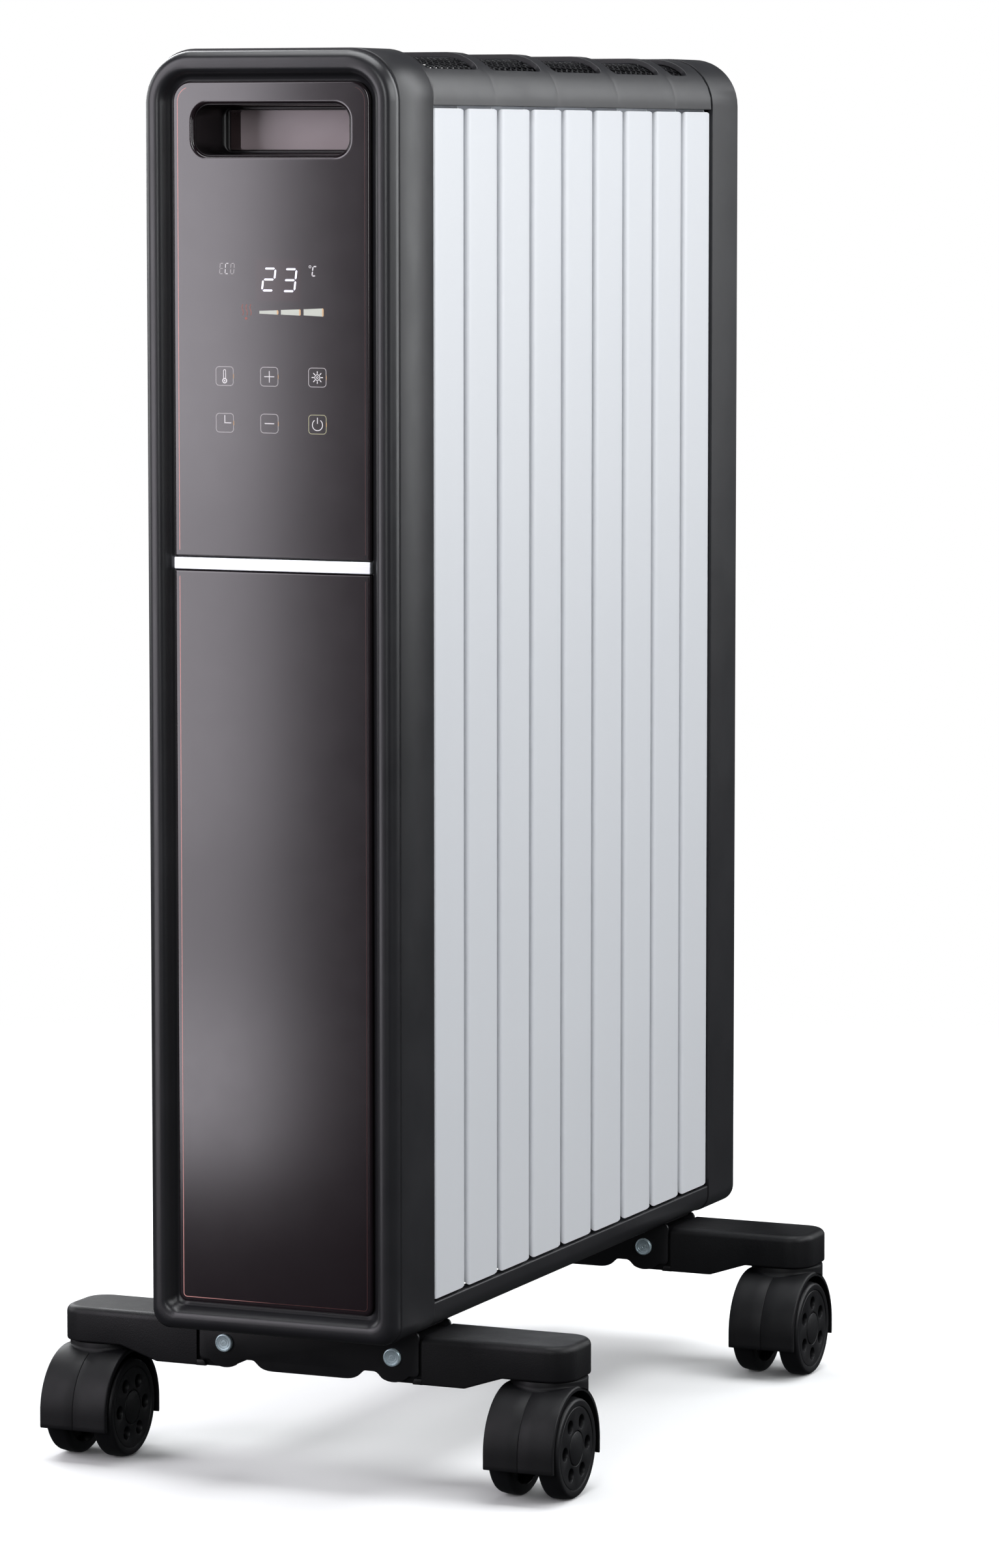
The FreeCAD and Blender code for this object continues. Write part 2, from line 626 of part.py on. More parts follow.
def wing_nuts():
    """Two wing nuts on each U bolt, under the bracket's web."""
    nuts = []
    for end in FOOT_DEPTHS:
        for x in (-BOLT_X, BOLT_X):
            depth = bolt_depth(end)
            boss = Part.makeCylinder(5.0, 6.0, at(x, depth, -8.0), Z_AXIS)
            wings = [box(x - 1.2, x + 1.2, depth + a, depth + b, -12.5, -5.5)
                     for a, b in ((-11.5, -3.5), (3.5, 11.5))]
            nut = boss.fuse(wings).removeSplitter()
            nuts.append(nut.cut(Part.makeCylinder(3.02, 12, at(x, depth, -14), Z_AXIS)))
    return nuts


def pivot_rivets():
    """Four riveted pins with flat turned heads at both ends."""
    rivets = []
    for end, d0 in FOOT_DEPTHS.items():
        d1 = d0 + FOOT_WIDTH
        for x in (-PIVOT_X, PIVOT_X):
            shank = rod_y(RIVET_RADIUS, d0 - 0.03, d1 + 0.03, x, PIVOT_Z)
            front = rod_y(RIVET_HEAD_RADIUS, d0 - 1.5, d0 - 0.03, x, PIVOT_Z)
            back = rod_y(RIVET_HEAD_RADIUS, d1 + 0.03, d1 + 1.5, x, PIVOT_Z)
            front = front.makeFillet(0.5, edges_at(front, lambda b: b.YMax < FRONT_Y + d0 - 1.4))
            back = back.makeFillet(0.5, edges_at(back, lambda b: b.YMin > FRONT_Y + d1 + 1.4))
            rivets.append(shank.fuse([front, back]).removeSplitter())
    return rivets


def foot_arm(end):
    """A right-hand arm: a tongue between the bracket plates, then a hollow beam to the caster."""
    d0 = FOOT_DEPTHS[end]
    d1 = d0 + FOOT_WIDTH
    mid = d0 + FOOT_WIDTH / 2
    half = FOOT_WIDTH / 2
    beam_side = [(ARM_BODY_X, ARM_TOP), (ARM_END_X, ARM_TOP), (ARM_END_X, ARM_SHALLOW),
                 (93.5, ARM_SHALLOW), (75.6, ARM_DEEP), (ARM_BODY_X, ARM_DEEP)]
    beam = profile_xz(beam_side, d0, d1)
    corners = edges_at(beam, lambda b: b.XMin > ARM_END_X - 0.01 and b.ZLength > 10)
    beam = beam.makeFillet(ARM_END_RADIUS, corners)
    upper = edges_at(beam, lambda b: b.ZMin > BODY_LIFT + ARM_TOP - 0.01
                     and b.XMax > ARM_BODY_X + 1)
    beam = beam.makeFillet(2.8, upper)
    wall = 2.4
    hollow_side = [(ARM_BODY_X + 4, ARM_TOP - wall), (STEM_X - 14, ARM_TOP - wall),
                   (STEM_X - 14, ARM_SHALLOW - 10), (ARM_BODY_X + 4, ARM_SHALLOW - 10)]
    beam = beam.cut(profile_xz(hollow_side, d0 + wall, d1 - wall))
    side = half - PLATE - SIDE_CLEARANCE
    tongue_low = LOBE_RADIUS + 0.1
    tongue = profile_xz([(PIVOT_X, -3.5), (ARM_BODY_X + 0.5, -3.5), (ARM_BODY_X + 0.5, ARM_DEEP),
                         (39.0, ARM_DEEP), (34.0, -17.0)], mid - side, mid + side)
    tongue = tongue.fuse(rod_y(-3.5 - PIVOT_Z, mid - side, mid + side, PIVOT_X, PIVOT_Z))
    tab = box(50.6, ARM_BODY_X + 0.5, d0, d1, ARM_DEEP, PIVOT_Z - tongue_low + 2.6)
    arm = beam.fuse([tongue, tab]).removeSplitter()
    arm = arm.cut(rod_y(RIVET_RADIUS + RUNNING_CLEARANCE, d0 - 1, d1 + 1, PIVOT_X, PIVOT_Z))
    socket = Part.makeCylinder(STEM_RADIUS + RUNNING_CLEARANCE, 12.0,
                               at(STEM_X, mid, ARM_SHALLOW - 1), Z_AXIS)
    return arm.cut(socket)


# ---- casters, built round the stem axis at x = y = 0 with the floor at z = 0 ----
def rod_x(radius, x0, x1, y, z):
    return Part.makeCylinder(radius, x1 - x0, Vector(x0, y, z), X_AXIS)


def plain_box(x0, x1, y0, y1, z0, z1):
    return Part.makeBox(x1 - x0, y1 - y0, z1 - z0, Vector(x0, y0, z0))


def caster_hood():
    """The hood over both wheels, the web between them and the round neck under the arm."""
    wide, y = HOOD_HALF_WIDTH, -CASTER_TRAIL
    low = WHEEL_RADIUS - HOOD_SKIRT

    def arch(radius, half):
        crown = rod_x(radius, -half, half, y, WHEEL_RADIUS)
        crown = crown.common(plain_box(-half, half, y - 50, y + 50, WHEEL_RADIUS, 100))
        skirt = plain_box(-half, half, y - radius, y + radius, low, WHEEL_RADIUS)
        return crown.fuse(skirt).removeSplitter()

    outer = arch(HOOD_RADIUS, wide)
    rims = edges_at(outer, lambda b: b.XLength < 0.01 and b.ZMax > WHEEL_RADIUS + 1
                    and b.YLength > 20)
    outer = outer.makeFillet(0.8, rims)
    hood = outer.cut(arch(HOOD_RADIUS - HOOD_WALL, wide + 1))
    web = arch(HOOD_RADIUS - HOOD_WALL + 0.5, HOOD_WEB)
    neck_top = BODY_LIFT + ARM_SHALLOW - SIDE_CLEARANCE
    neck = Part.makeCylinder(NECK_RADIUS, neck_top - WHEEL_RADIUS, Vector(0, 0, WHEEL_RADIUS), Z_AXIS)
    neck = neck.cut(arch(HOOD_RADIUS - HOOD_WALL, wide + 5))
    hood = hood.fuse([web, neck]).removeSplitter()
    hood = hood.cut(rod_x(AXLE_RADIUS + 0.02, -30, 30, y, WHEEL_RADIUS))
    return hood.cut(Part.makeCylinder(STEM_RADIUS + 0.02, 60,
                                      Vector(0, 0, neck_top - STEM_IN_HOOD), Z_AXIS))


STEM_IN_HOOD = 9.0


def caster_pins():
    """The steel stem that turns in the arm, and the wheel axle."""
    neck_top = BODY_LIFT + ARM_SHALLOW - SIDE_CLEARANCE
    stem = Part.makeCylinder(STEM_RADIUS, STEM_IN_HOOD - 0.1 + 10.5,
                             Vector(0, 0, neck_top - STEM_IN_HOOD + 0.1), Z_AXIS)
    axle = rod_x(AXLE_RADIUS, -WHEEL_OUTER + 4.0, WHEEL_OUTER - 4.0, -CASTER_TRAIL, WHEEL_RADIUS)
    return stem, axle


def caster_wheel(first_hole):
    """The right-hand wheel: domed face, six round holes, a hub disc, and hollow on the inside."""
    r, x0, x1 = WHEEL_RADIUS, WHEEL_INNER, WHEEL_OUTER
    face = x1 - 0.7
    section = [(x0, 4.6), (x0, 6.6), (x0 + 6.0, 6.6), (x0 + 6.0, r - 5.0), (x0, r - 5.0),
               (x0, r - 1.2), (x0 + 1.2, r), (x1 - 3.2, r), (x1 - 1.6, r - 0.8), (face, r - 2.8),
               (face, 18.6), (face - 0.4, 18.3), (face - 0.4, 17.9), (face, 17.6),
               (face, 8.1), (face - 0.6, 8.0), (face - 0.6, 7.5), (face + 0.2, 7.4), (face + 0.2, 0.0),
               (x1 - 3.8, 0.0), (x1 - 3.8, AXLE_RADIUS + RUNNING_CLEARANCE),
               (x0, AXLE_RADIUS + RUNNING_CLEARANCE)]
    wire = Part.makePolygon([Vector(x, 0, radius) for x, radius in section + section[:1]])
    wheel = Part.Face(wire).revolve(Vector(0, 0, 0), X_AXIS, 360)
    for n in range(6):
        angle = math.radians(first_hole + 60 * n)
        y, z = 12.4 * math.cos(angle), 12.4 * math.sin(angle)
        wheel = wheel.cut(rod_x(3.1, x0 + 4, x1 + 2, y, z))
    wheel.translate(Vector(0, -CASTER_TRAIL, WHEEL_RADIUS))
    return wheel


def place(shape, side, end):
    moved = shape.copy()
    moved.translate(Vector(side * STEM_X, FOOT_Y[end], 0))
    return moved


# ---- everything ----
def build():
    os.makedirs("parts", exist_ok=True)
    save("front_bezel", front_bezel())
    upper, lower, strip = front_panels()
    save("control_panel", upper)
    save("lower_panel", lower)
    save("trim_strip", strip)
    save("handle_pocket", handle_pocket())
    save("handle_back", handle_back())
    save("front_housing", front_housing())
    save("cord_gland", cord_gland())
    save("heat_shield", heat_shield())
    save("board_carrier", board_carrier())
    save("display_board", display_board())
    save("display_module", *display_module())
    save("touch_springs", *touch_springs())
    save("power_board", power_board())
    save("power_components", *power_components())
    save("tip_over_switch", *tip_over_switch())
    save("thermal_cutoffs", *thermal_cutoffs())
    save("temperature_sensor", temperature_sensor())
    for index in range(FIN_COUNT):
        save("fin_%d" % (index + 1), *fin(index))
    save("collector_plugs", *collector_plugs())
    save("heating_element", *heating_element())
    save("top_cover", top_cover())
    save("vent_mesh", *vent_mesh())
    save("rear_cover", rear_cover())
    save("cover_screws", *cover_screws())
    rail = side_rail()
    save("side_rail_right", rail)
    save("side_rail_left", mirrored(rail))
    save("foot_u_bolts", *foot_u_bolts())
    save("wing_nuts", *wing_nuts())
    save("pivot_rivets", *pivot_rivets())
    hood = caster_hood()
    pins = caster_pins()
    first_holes = {"front": 2, "rear": 30}
    for end in FOOT_DEPTHS:
        save("foot_bracket_" + end, foot_bracket(end))
        arm = foot_arm(end)
        wheel = caster_wheel(first_holes[end])
        wheels = {"right": wheel, "left": mirrored(wheel)}
        for side, sign in SIDES.items():
            corner = end + "_" + side
            save("foot_arm_" + corner, arm if sign > 0 else mirrored(arm))
            save("caster_hood_" + corner, place(hood, sign, end))
            save("caster_pins_" + corner, *[place(pin, sign, end) for pin in pins])
            for face, made in wheels.items():
                save("wheel_" + corner + "_" + face, place(made, sign, end))


build()
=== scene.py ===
import json
import math

import bmesh
import bpy
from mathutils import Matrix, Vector

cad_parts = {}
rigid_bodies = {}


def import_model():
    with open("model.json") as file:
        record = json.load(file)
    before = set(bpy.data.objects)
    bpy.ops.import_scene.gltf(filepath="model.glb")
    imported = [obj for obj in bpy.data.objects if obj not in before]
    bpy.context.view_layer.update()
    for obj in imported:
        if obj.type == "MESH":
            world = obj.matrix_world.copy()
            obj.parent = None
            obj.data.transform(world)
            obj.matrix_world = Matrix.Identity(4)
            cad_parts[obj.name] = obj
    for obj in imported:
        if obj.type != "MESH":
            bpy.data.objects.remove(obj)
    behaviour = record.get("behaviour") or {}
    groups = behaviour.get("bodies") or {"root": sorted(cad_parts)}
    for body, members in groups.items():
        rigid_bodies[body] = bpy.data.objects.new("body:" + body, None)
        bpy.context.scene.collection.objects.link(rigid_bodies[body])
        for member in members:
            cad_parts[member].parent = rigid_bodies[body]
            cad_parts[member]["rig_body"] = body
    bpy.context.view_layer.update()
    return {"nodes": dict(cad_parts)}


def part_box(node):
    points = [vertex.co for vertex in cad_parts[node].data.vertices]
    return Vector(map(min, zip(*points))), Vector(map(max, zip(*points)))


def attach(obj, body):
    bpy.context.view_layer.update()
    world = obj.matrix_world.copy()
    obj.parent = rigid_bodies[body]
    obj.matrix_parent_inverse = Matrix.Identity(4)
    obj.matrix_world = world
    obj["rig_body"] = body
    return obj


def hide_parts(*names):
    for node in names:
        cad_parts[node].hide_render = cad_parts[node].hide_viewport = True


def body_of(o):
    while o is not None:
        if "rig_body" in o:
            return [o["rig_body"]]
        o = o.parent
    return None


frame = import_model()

nodes = frame["nodes"]
CORNERS = [end + "_" + side for end in ("front", "rear") for side in ("right", "left")]
SIGN = {"right": 1, "left": -1}

# ---- body measures in millimetres: x, depth behind the bezel joint, height over the underside ----
LIFT = 70.0
HALF = 60.0
BODY_HEIGHT = 561.0
TOP_RADIUS, BOTTOM_RADIUS = 22.7, 8.5
HOUSING_DEPTH = 35.0
FIN_PITCH, FIN_FACE, FIN_START, FIN_COUNT = 36.4, 33.1, 37.0, 9
FIN_BOTTOM, FIN_TOP, FIN_OUTER = 14.2, 535.4, 59.2
SHEET = 0.8
REAR_START = FIN_START + (FIN_COUNT - 1) * FIN_PITCH + FIN_FACE + 1.2
FRONT_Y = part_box("front_housing")[0].y * 1000
PANEL_HALF, PANEL_BOTTOM, PANEL_TOP, PANEL_FACE = 46.9, 12.3, 546.8, -2.5
STRIP_BOTTOM, STRIP_TOP = 336.0, 341.4
GRIP_HALF, GRIP_BOTTOM, GRIP_TOP, GRIP_RADIUS = 37.0, 515.0, 537.2, 7.0
STEM_X, TRAIL, WHEEL_R = 108.8, 8.6, 22.5
FOOT_DEPTH = {"front": 31.0, "rear": 324.3}
FOOT_WIDTH = 36.0
PIVOT_X, PIVOT_Z = 41.2, -12.1
RIM_HALF, RIM_TOP, RIM_RADIUS = 59.5, 560.0, 22.2
PANEL_LOW_R, PANEL_HIGH_R, PANEL_GAP = 4.0, 8.6, 0.25
COLLECTORS = (58.0, 486.0)
CAMERA_PLACE = (1.1257, FRONT_Y / 1000 - 2.338, LIFT / 1000 + 0.5178)
CAMERA_DIP, CAMERA_TURN, CAMERA_LENS = 6.04, 23.56, 137.75


def at(x, depth, height):
    return Vector((x, FRONT_Y + depth, LIFT + height)) / 1000


# ---- materials ----
def material(name):
    mat = bpy.data.materials.new(name)
    mat.use_nodes = True
    tree = mat.node_tree
    return mat, tree, tree.nodes["Principled BSDF"]


def noise(tree, scale, detail=4.0, rough=0.55, stretch=(1, 1, 1)):
    """Noise on the object's own coordinates, in waves per metre."""
    coords = tree.nodes.new("ShaderNodeTexCoord")
    mapping = tree.nodes.new("ShaderNodeMapping")
    mapping.inputs["Scale"].default_value = stretch
    tree.links.new(coords.outputs["Object"], mapping.inputs["Vector"])
    tex = tree.nodes.new("ShaderNodeTexNoise")
    tex.inputs["Scale"].default_value = scale
    tex.inputs["Detail"].default_value = detail
    tex.inputs["Roughness"].default_value = rough
    tree.links.new(mapping.outputs["Vector"], tex.inputs["Vector"])
    return tex


def rgba(value):
    """A grey from a number, or a colour with its alpha."""
    return (value,) * 3 + (1,) if isinstance(value, float) else value + (1,)


def vary(shader, socket, source, low, high, at_low=0.35, at_high=0.65):
    """Takes a shader's socket from low to high as a noise, or another source, rises."""
    tree = shader.id_data
    node = tree.nodes.new("ShaderNodeValToRGB")
    first, second = node.color_ramp.elements
    first.position, second.position = at_low, at_high
    first.color, second.color = rgba(low), rgba(high)
    tree.links.new(source.outputs[0], node.inputs["Fac"])
    tree.links.new(node.outputs["Color"], shader.inputs[socket])


def bump(shader, *layers):
    """Stacks bump layers: (noise, distance in metres, strength)."""
    tree, last = shader.id_data, None
    for height, distance, strength in layers:
        node = tree.nodes.new("ShaderNodeBump")
        node.inputs["Distance"].default_value = distance
        node.inputs["Strength"].default_value = strength
        tree.links.new(height.outputs[0], node.inputs["Height"])
        if last:
            tree.links.new(last, node.inputs["Normal"])
        last = node.outputs["Normal"]
    tree.links.new(last, shader.inputs["Normal"])


def plastic(name, low, high, rough, grain=2600.0, depth=0.00004, specular=0.5, strength=0.5):
    """Moulded plastic or powder paint: a fine grain, and slow changes of tone and gloss."""
    mat, tree, shader = material(name)
    vary(shader, "Base Color", noise(tree, 14.0, 5.0), low, high)
    vary(shader, "Roughness", noise(tree, 45.0, 4.0, 0.6), *rough)
    bump(shader, (noise(tree, grain, 2.0, 0.6), depth, strength))
    shader.inputs["Specular IOR Level"].default_value = specular
    return mat


def gloss_pane(name, low, high, rough, coat):
    """Dark tinted pane with a clear face."""
    mat, tree, shader = material(name)
    vary(shader, "Base Color", noise(tree, 9.0, 3.0), low, high)
    vary(shader, "Roughness", noise(tree, 60.0, 5.0, 0.65), *rough)
    bump(shader, (noise(tree, 6.0, 1.0), 0.0002, 0.05))
    shader.inputs["Coat Weight"].default_value = coat
    shader.inputs["Coat Roughness"].default_value = 0.16
    return mat


def metal(name, low, high, rough, metallic=1.0, stretch=(1, 1, 1), scale=300.0, depth=0.00002):
    """Metal whose tone, gloss and surface follow one noise; stretch turns it into brushing."""
    mat, tree, shader = material(name)
    tone = noise(tree, scale, 5.0, 0.6, stretch)
    vary(shader, "Base Color", tone, low, high)
    vary(shader, "Roughness", tone, *rough)
    bump(shader, (tone, depth, 0.4))
    shader.inputs["Metallic"].default_value = metallic
    return mat


def fin_paint():
    """Baked white enamel: faint orange peel, and a few slow dents in the pressed sheet."""
    mat, tree, shader = material("fin_enamel")
    vary(shader, "Base Color", noise(tree, 5.0, 3.0), (0.745, 0.765, 0.80), (0.765, 0.78, 0.81), 0.2, 0.8)
    vary(shader, "Roughness", noise(tree, 30.0, 3.0), 0.34, 0.38, 0.2, 0.8)
    dents, peel = noise(tree, 7.0, 1.0, 0.4, (1, 1, 0.3)), noise(tree, 900.0, 2.0)
    bump(shader, (dents, 0.0004, 0.1), (peel, 0.00001, 0.25))
    shader.inputs["Coat Weight"].default_value = 0.15
    shader.inputs["Coat Roughness"].default_value = 0.3
    return mat


def glow(name, colour, strength):
    """Lit lettering: emission that varies a little over each mark."""
    mat, tree, shader = material(name)
    shader.inputs["Base Color"].default_value = rgba(tuple(0.5 * c for c in colour))
    shader.inputs["Roughness"].default_value = 0.4
    vary(shader, "Emission Color", noise(tree, 220.0, 2.0), tuple(0.9 * c for c in colour), colour)
    shader.inputs["Emission Strength"].default_value = strength
    return mat


def edge_tint_painted_light():
    """A fine red line with painted light: pinkish with a painted highlight at the left edge, and dark red
    with painted shade at the right.
    """
    mat, tree, shader = material("edge_line_painted_light")
    coords = tree.nodes.new("ShaderNodeTexCoord")
    split = tree.nodes.new("ShaderNodeSeparateXYZ")
    tree.links.new(coords.outputs["Object"], split.inputs["Vector"])
    reach = tree.nodes.new("ShaderNodeMapRange")
    reach.inputs["From Min"].default_value = -0.045
    reach.inputs["From Max"].default_value = 0.045
    tree.links.new(split.outputs["X"], reach.inputs["Value"])
    # painted light and shade: the colour goes from a painted highlight at the left to painted shade at the
    # right, by the line's x place
    vary(shader, "Base Color", reach, (0.85, 0.40, 0.37), (0.05, 0.008, 0.008), 0.0, 0.5)
    shader.inputs["Roughness"].default_value = 0.4
    return mat


MAT = {
    "case": plastic("case_plastic", (0.016, 0.016, 0.018), (0.021, 0.021, 0.0235), (0.34, 0.39), 3200.0,
                    specular=0.41),
    "bezel": plastic("bezel_plastic", (0.014, 0.014, 0.016), (0.018, 0.018, 0.0205), (0.30, 0.35), 3200.0,
                     specular=0.53),
    "foot": plastic("foot_plastic", (0.005, 0.005, 0.006), (0.008, 0.008, 0.009), (0.42, 0.52), 1500.0,
                    0.00009, 0.27, 0.6),
    "caster": plastic("caster_plastic", (0.005, 0.005, 0.006), (0.009, 0.009, 0.010), (0.42, 0.54), 2200.0,
                      0.00006, 0.25, 0.5),
    "wheel": plastic("wheel_plastic", (0.006, 0.006, 0.007), (0.011, 0.011, 0.0125), (0.4, 0.52), 2600.0,
                     0.00004, 0.33, 0.5),
    "bracket": plastic("bracket_paint", (0.007, 0.007, 0.008), (0.010, 0.010, 0.0115), (0.38, 0.5), 1800.0,
                       0.00006, 0.38, 0.5),
    "pane": gloss_pane("tinted_pane", (0.011, 0.006, 0.0085), (0.014, 0.008, 0.0105), (0.15, 0.17), 0.7),
    "pocket": plastic("pocket_plastic", (0.006, 0.005, 0.006), (0.012, 0.009, 0.010), (0.3, 0.4)),
    "pocket_back": gloss_pane("pocket_back_gloss", (0.36, 0.29, 0.31), (0.42, 0.34, 0.36),
                              (0.35, 0.5), 0.3),
    "trim": metal("trim_silver", (0.78, 0.81, 0.84), (0.84, 0.87, 0.89), (0.34, 0.42),
                  stretch=(1, 1, 40), scale=120.0),
    "zinc": metal("zinc_plate", (0.64, 0.80, 0.86), (0.70, 0.85, 0.90), (0.28, 0.34), 0.4,
                  scale=90.0, depth=0.000004),
    "steel": metal("bare_steel", (0.42, 0.42, 0.43), (0.55, 0.55, 0.56), (0.3, 0.45)),
    "sheath": metal("element_sheath", (0.16, 0.13, 0.11), (0.28, 0.24, 0.22), (0.4, 0.6)),
    "mesh": metal("mesh_black", (0.008, 0.008, 0.009), (0.02, 0.02, 0.022), (0.35, 0.5), 0.3),
    "fin": fin_paint(),
    "board": plastic("circuit_board", (0.02, 0.16, 0.07), (0.03, 0.22, 0.1), (0.3, 0.45), 900.0),
    "component": plastic("component_block", (0.02, 0.02, 0.022), (0.05, 0.05, 0.055), (0.35, 0.5), 1200.0),
    "light": plastic("light_guide", (0.62, 0.62, 0.6), (0.75, 0.75, 0.72), (0.35, 0.45), 900.0),
    "pocket_deep": gloss_pane("pocket_deep_gloss", (0.02, 0.008, 0.008), (0.03, 0.012, 0.012),
                              (0.25, 0.35), 0.4),
    "tint": gloss_pane("display_window", (0.022, 0.0085, 0.011), (0.026, 0.0105, 0.013), (0.15, 0.17), 0.7),
    # the edge line's red, with painted light from left to right
    "edge_tint_painted_light": edge_tint_painted_light(),
    "digit_light": glow("digit_glow", (0.86, 0.84, 1.0), 1.35),
    "mark_light": glow("mark_glow", (0.8, 0.77, 0.8), 0.65),
    "dim_light": glow("dim_glow", (0.7, 0.66, 0.68), 0.28),
    "bar_light": glow("bar_glow", (0.76, 0.79, 0.71), 0.4),
    # warm glow: the level bars' warm tips, and the keys' painted glints
    "warm_light": glow("warm_glow", (0.85, 0.55, 0.3), 0.42),
    "amber_light": glow("amber_glow", (0.62, 0.6, 0.38), 0.3),
    "red_light": glow("red_glow", (0.6, 0.2, 0.16), 0.12),
}


# ---- the carried-over nodes: each look, and how the names of its nodes start ----
LOOKS = {
    "fin": ("fin_",), "caster": ("caster_hood",), "wheel": ("wheel_",), "foot": ("foot_arm",),
    "bracket": ("foot_bracket",), "bezel": ("front_bezel",), "pane": ("control_panel", "lower_panel"),
    "trim": ("trim_strip",), "pocket": ("handle_pocket",), "pocket_back": ("handle_back",),
    "steel": ("heat_shield", "touch_springs", "thermal_cutoffs", "collector_plugs"),
    "board": ("display_board", "power_board"), "light": ("display_module",),
    "component": ("power_components", "tip_over_switch", "temperature_sensor"),
    "sheath": ("heating_element",), "mesh": ("vent_mesh",),
    "zinc": ("cover_screws", "foot_u_bolts", "wing_nuts", "pivot_rivets", "caster_pins"),
}
for node in nodes:
    look = next((key for key, starts in LOOKS.items() if node.startswith(starts)), "case")
    nodes[node].data.materials.clear()
    nodes[node].data.materials.append(MAT[look])


# ---- mesh building ----
def build_mesh(name, shape, keys, sharp, shift=None, face_mats=None):
    """A mesh from (vertices, faces): body measures, or with a shift, floor-up frame measures."""
    me = bpy.data.meshes.new(name)
    if shift is None:
        points = [at(*v) for v in shape[0]]
    else:
        points = [(Vector(v) + Vector(shift)) / 1000 for v in shape[0]]
    me.from_pydata(points, [], shape[1])
    for key in keys:
        me.materials.append(MAT[key])
    if face_mats:
        me.polygons.foreach_set("material_index", face_mats)
    bm = bmesh.new()
    bm.from_mesh(me)
    bmesh.ops.remove_doubles(bm, verts=bm.verts, dist=2e-6)
    bmesh.ops.recalc_face_normals(bm, faces=bm.faces)
    limit = math.radians(sharp)
    for face in bm.faces:
        face.smooth = True
    for edge in bm.edges:
        edge.smooth = len(edge.link_faces) == 2 and edge.calc_face_angle(0) < limit
    bm.to_mesh(me)
    bm.free()
    return me


def bevelled(ob, width, segments):
    mod = ob.modifiers.new("edges", "BEVEL")
    mod.width = width / 1000
    mod.segments = segments
    mod.limit_method = "ANGLE"
    mod.angle_limit = math.radians(38)
    mod.harden_normals = True


def piece(name, me, replaces=(), body="radiator", wall=0.0, place=(0, 0, 0)):
    """Puts a mesh in the scene as a piece of the object; wall thickens an open sheet inwards."""
    ob = bpy.data.objects.new(name, me)
    bpy.context.scene.collection.objects.link(ob)
    ob.location = place
    if wall:
        mod = ob.modifiers.new("wall", "SOLIDIFY")
        mod.thickness = wall / 1000
        mod.offset = -1
        mod.use_even_offset = True
    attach(ob, body)
    if replaces:
        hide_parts(*replaces)
    return ob


def moulded(name, shape, key, sharp, replaces, body="radiator", shift=None):
    """A piece from one shape in one material."""
    piece(name, build_mesh(name, shape, [key], sharp, shift), replaces, body)


def rounded(half, bottom, top, r_bottom, r_top, n=10, x_mid=0.0):
    """Points of a rounded rectangle in (x, height), anticlockwise seen from the front."""
    loop = []
    for sx, z, r, start in ((-1, bottom, r_bottom, 180), (1, bottom, r_bottom, 270),
                            (1, top, r_top, 0), (-1, top, r_top, 90)):
        r = max(r, 0.05)
        cx = x_mid + sx * (half - r)
        cz = z + r if z == bottom else z - r
        for k in range(n + 1):
            a = math.radians(start + 90 * k / n)
            loop.append((cx + r * math.cos(a), cz + r * math.sin(a)))
    return loop


def loft(rings, closed=False, capped=False, ended=False):
    """Quads between rings of equal length, capped at both ends or ended by one cap at the last."""
    size = len(rings[0])
    verts = [p for ring in rings for p in ring]
    faces = []
    for i in range(len(rings) if closed else len(rings) - 1):
        j = (i + 1) % len(rings)
        for k in range(size):
            m = (k + 1) % size
            faces.append((i * size + k, i * size + m, j * size + m, j * size + k))
    if capped:
        faces.append(tuple(reversed(range(size))))
    if capped or ended:
        faces.append(tuple(range((len(rings) - 1) * size, len(rings) * size)))
    return verts, faces


def joined(parts):
    """Several (vertices, faces) pairs as one."""
    verts, faces = [], []
    for v, f in parts:
        faces += [tuple(len(verts) + i for i in face) for face in f]
        verts += v
    return verts, faces


def at_depth(loop, depth):
    return [(x, depth, z) for x, z in loop]


def swept(section, loop_of):
    """Rings for a section of (inset, depth) points."""
    return [at_depth(loop_of(inset), depth) for inset, depth in section]


def quarter(n):
    """The angles of a quarter turn in n steps, its start left out."""
    return [math.radians(90 * k / n) for k in range(1, n + 1)]


def arc(cx, cy, r, a0, a1, n):
    return [(cx + r * math.cos(math.radians(a0 + (a1 - a0) * k / n)),
             cy + r * math.sin(math.radians(a0 + (a1 - a0) * k / n))) for k in range(n + 1)]


def circle(cx, cy, r, n=28, first=0):
    """n points round a circle, from the angle first."""
    return arc(cx, cy, r, first, first + 360, n)[:-1]


# ---- front end ----
def bezel():
    """A rounded rim that slopes in to the panes; its outline turns from the body's to theirs."""
    outer = (RIM_HALF, 0.0, RIM_TOP, BOTTOM_RADIUS, RIM_RADIUS)
    inner = (PANEL_HALF, PANEL_BOTTOM, PANEL_TOP, PANEL_LOW_R, PANEL_HIGH_R)

    def loop_of(inset):
        t = inset / (RIM_HALF - PANEL_HALF)
        return rounded(*[a + (b - a) * t for a, b in zip(outer, inner)], 14)

    section = [(0.0, -0.02), (0.0, -1.5)]
    section += [(4.4 - 4.4 * math.cos(a), -1.5 - 5.25 * math.sin(a)) for a in quarter(10)]
    section += [(5.4, -6.8), (6.5, -6.74), (7.4, -6.45), (8.1, -5.95), (8.7, -5.25), (9.2, -4.4),
                (9.6, -3.5), (10.0, -2.6), (10.4, -1.8), (10.9, -1.2), (11.4, -0.9), (11.75, -0.6),
                (12.25, -0.5), (12.25, -0.02)]
    moulded("bezel_rim", loft(swept(section, loop_of), closed=True), "bezel", 50, ("front_bezel",))


def panel_loop(inset, bottom, top, r_bottom, r_top):
    return rounded(PANEL_HALF - inset, bottom + inset, top - inset, max(r_bottom - inset, 0.1),
                   max(r_top - inset, 0.1))


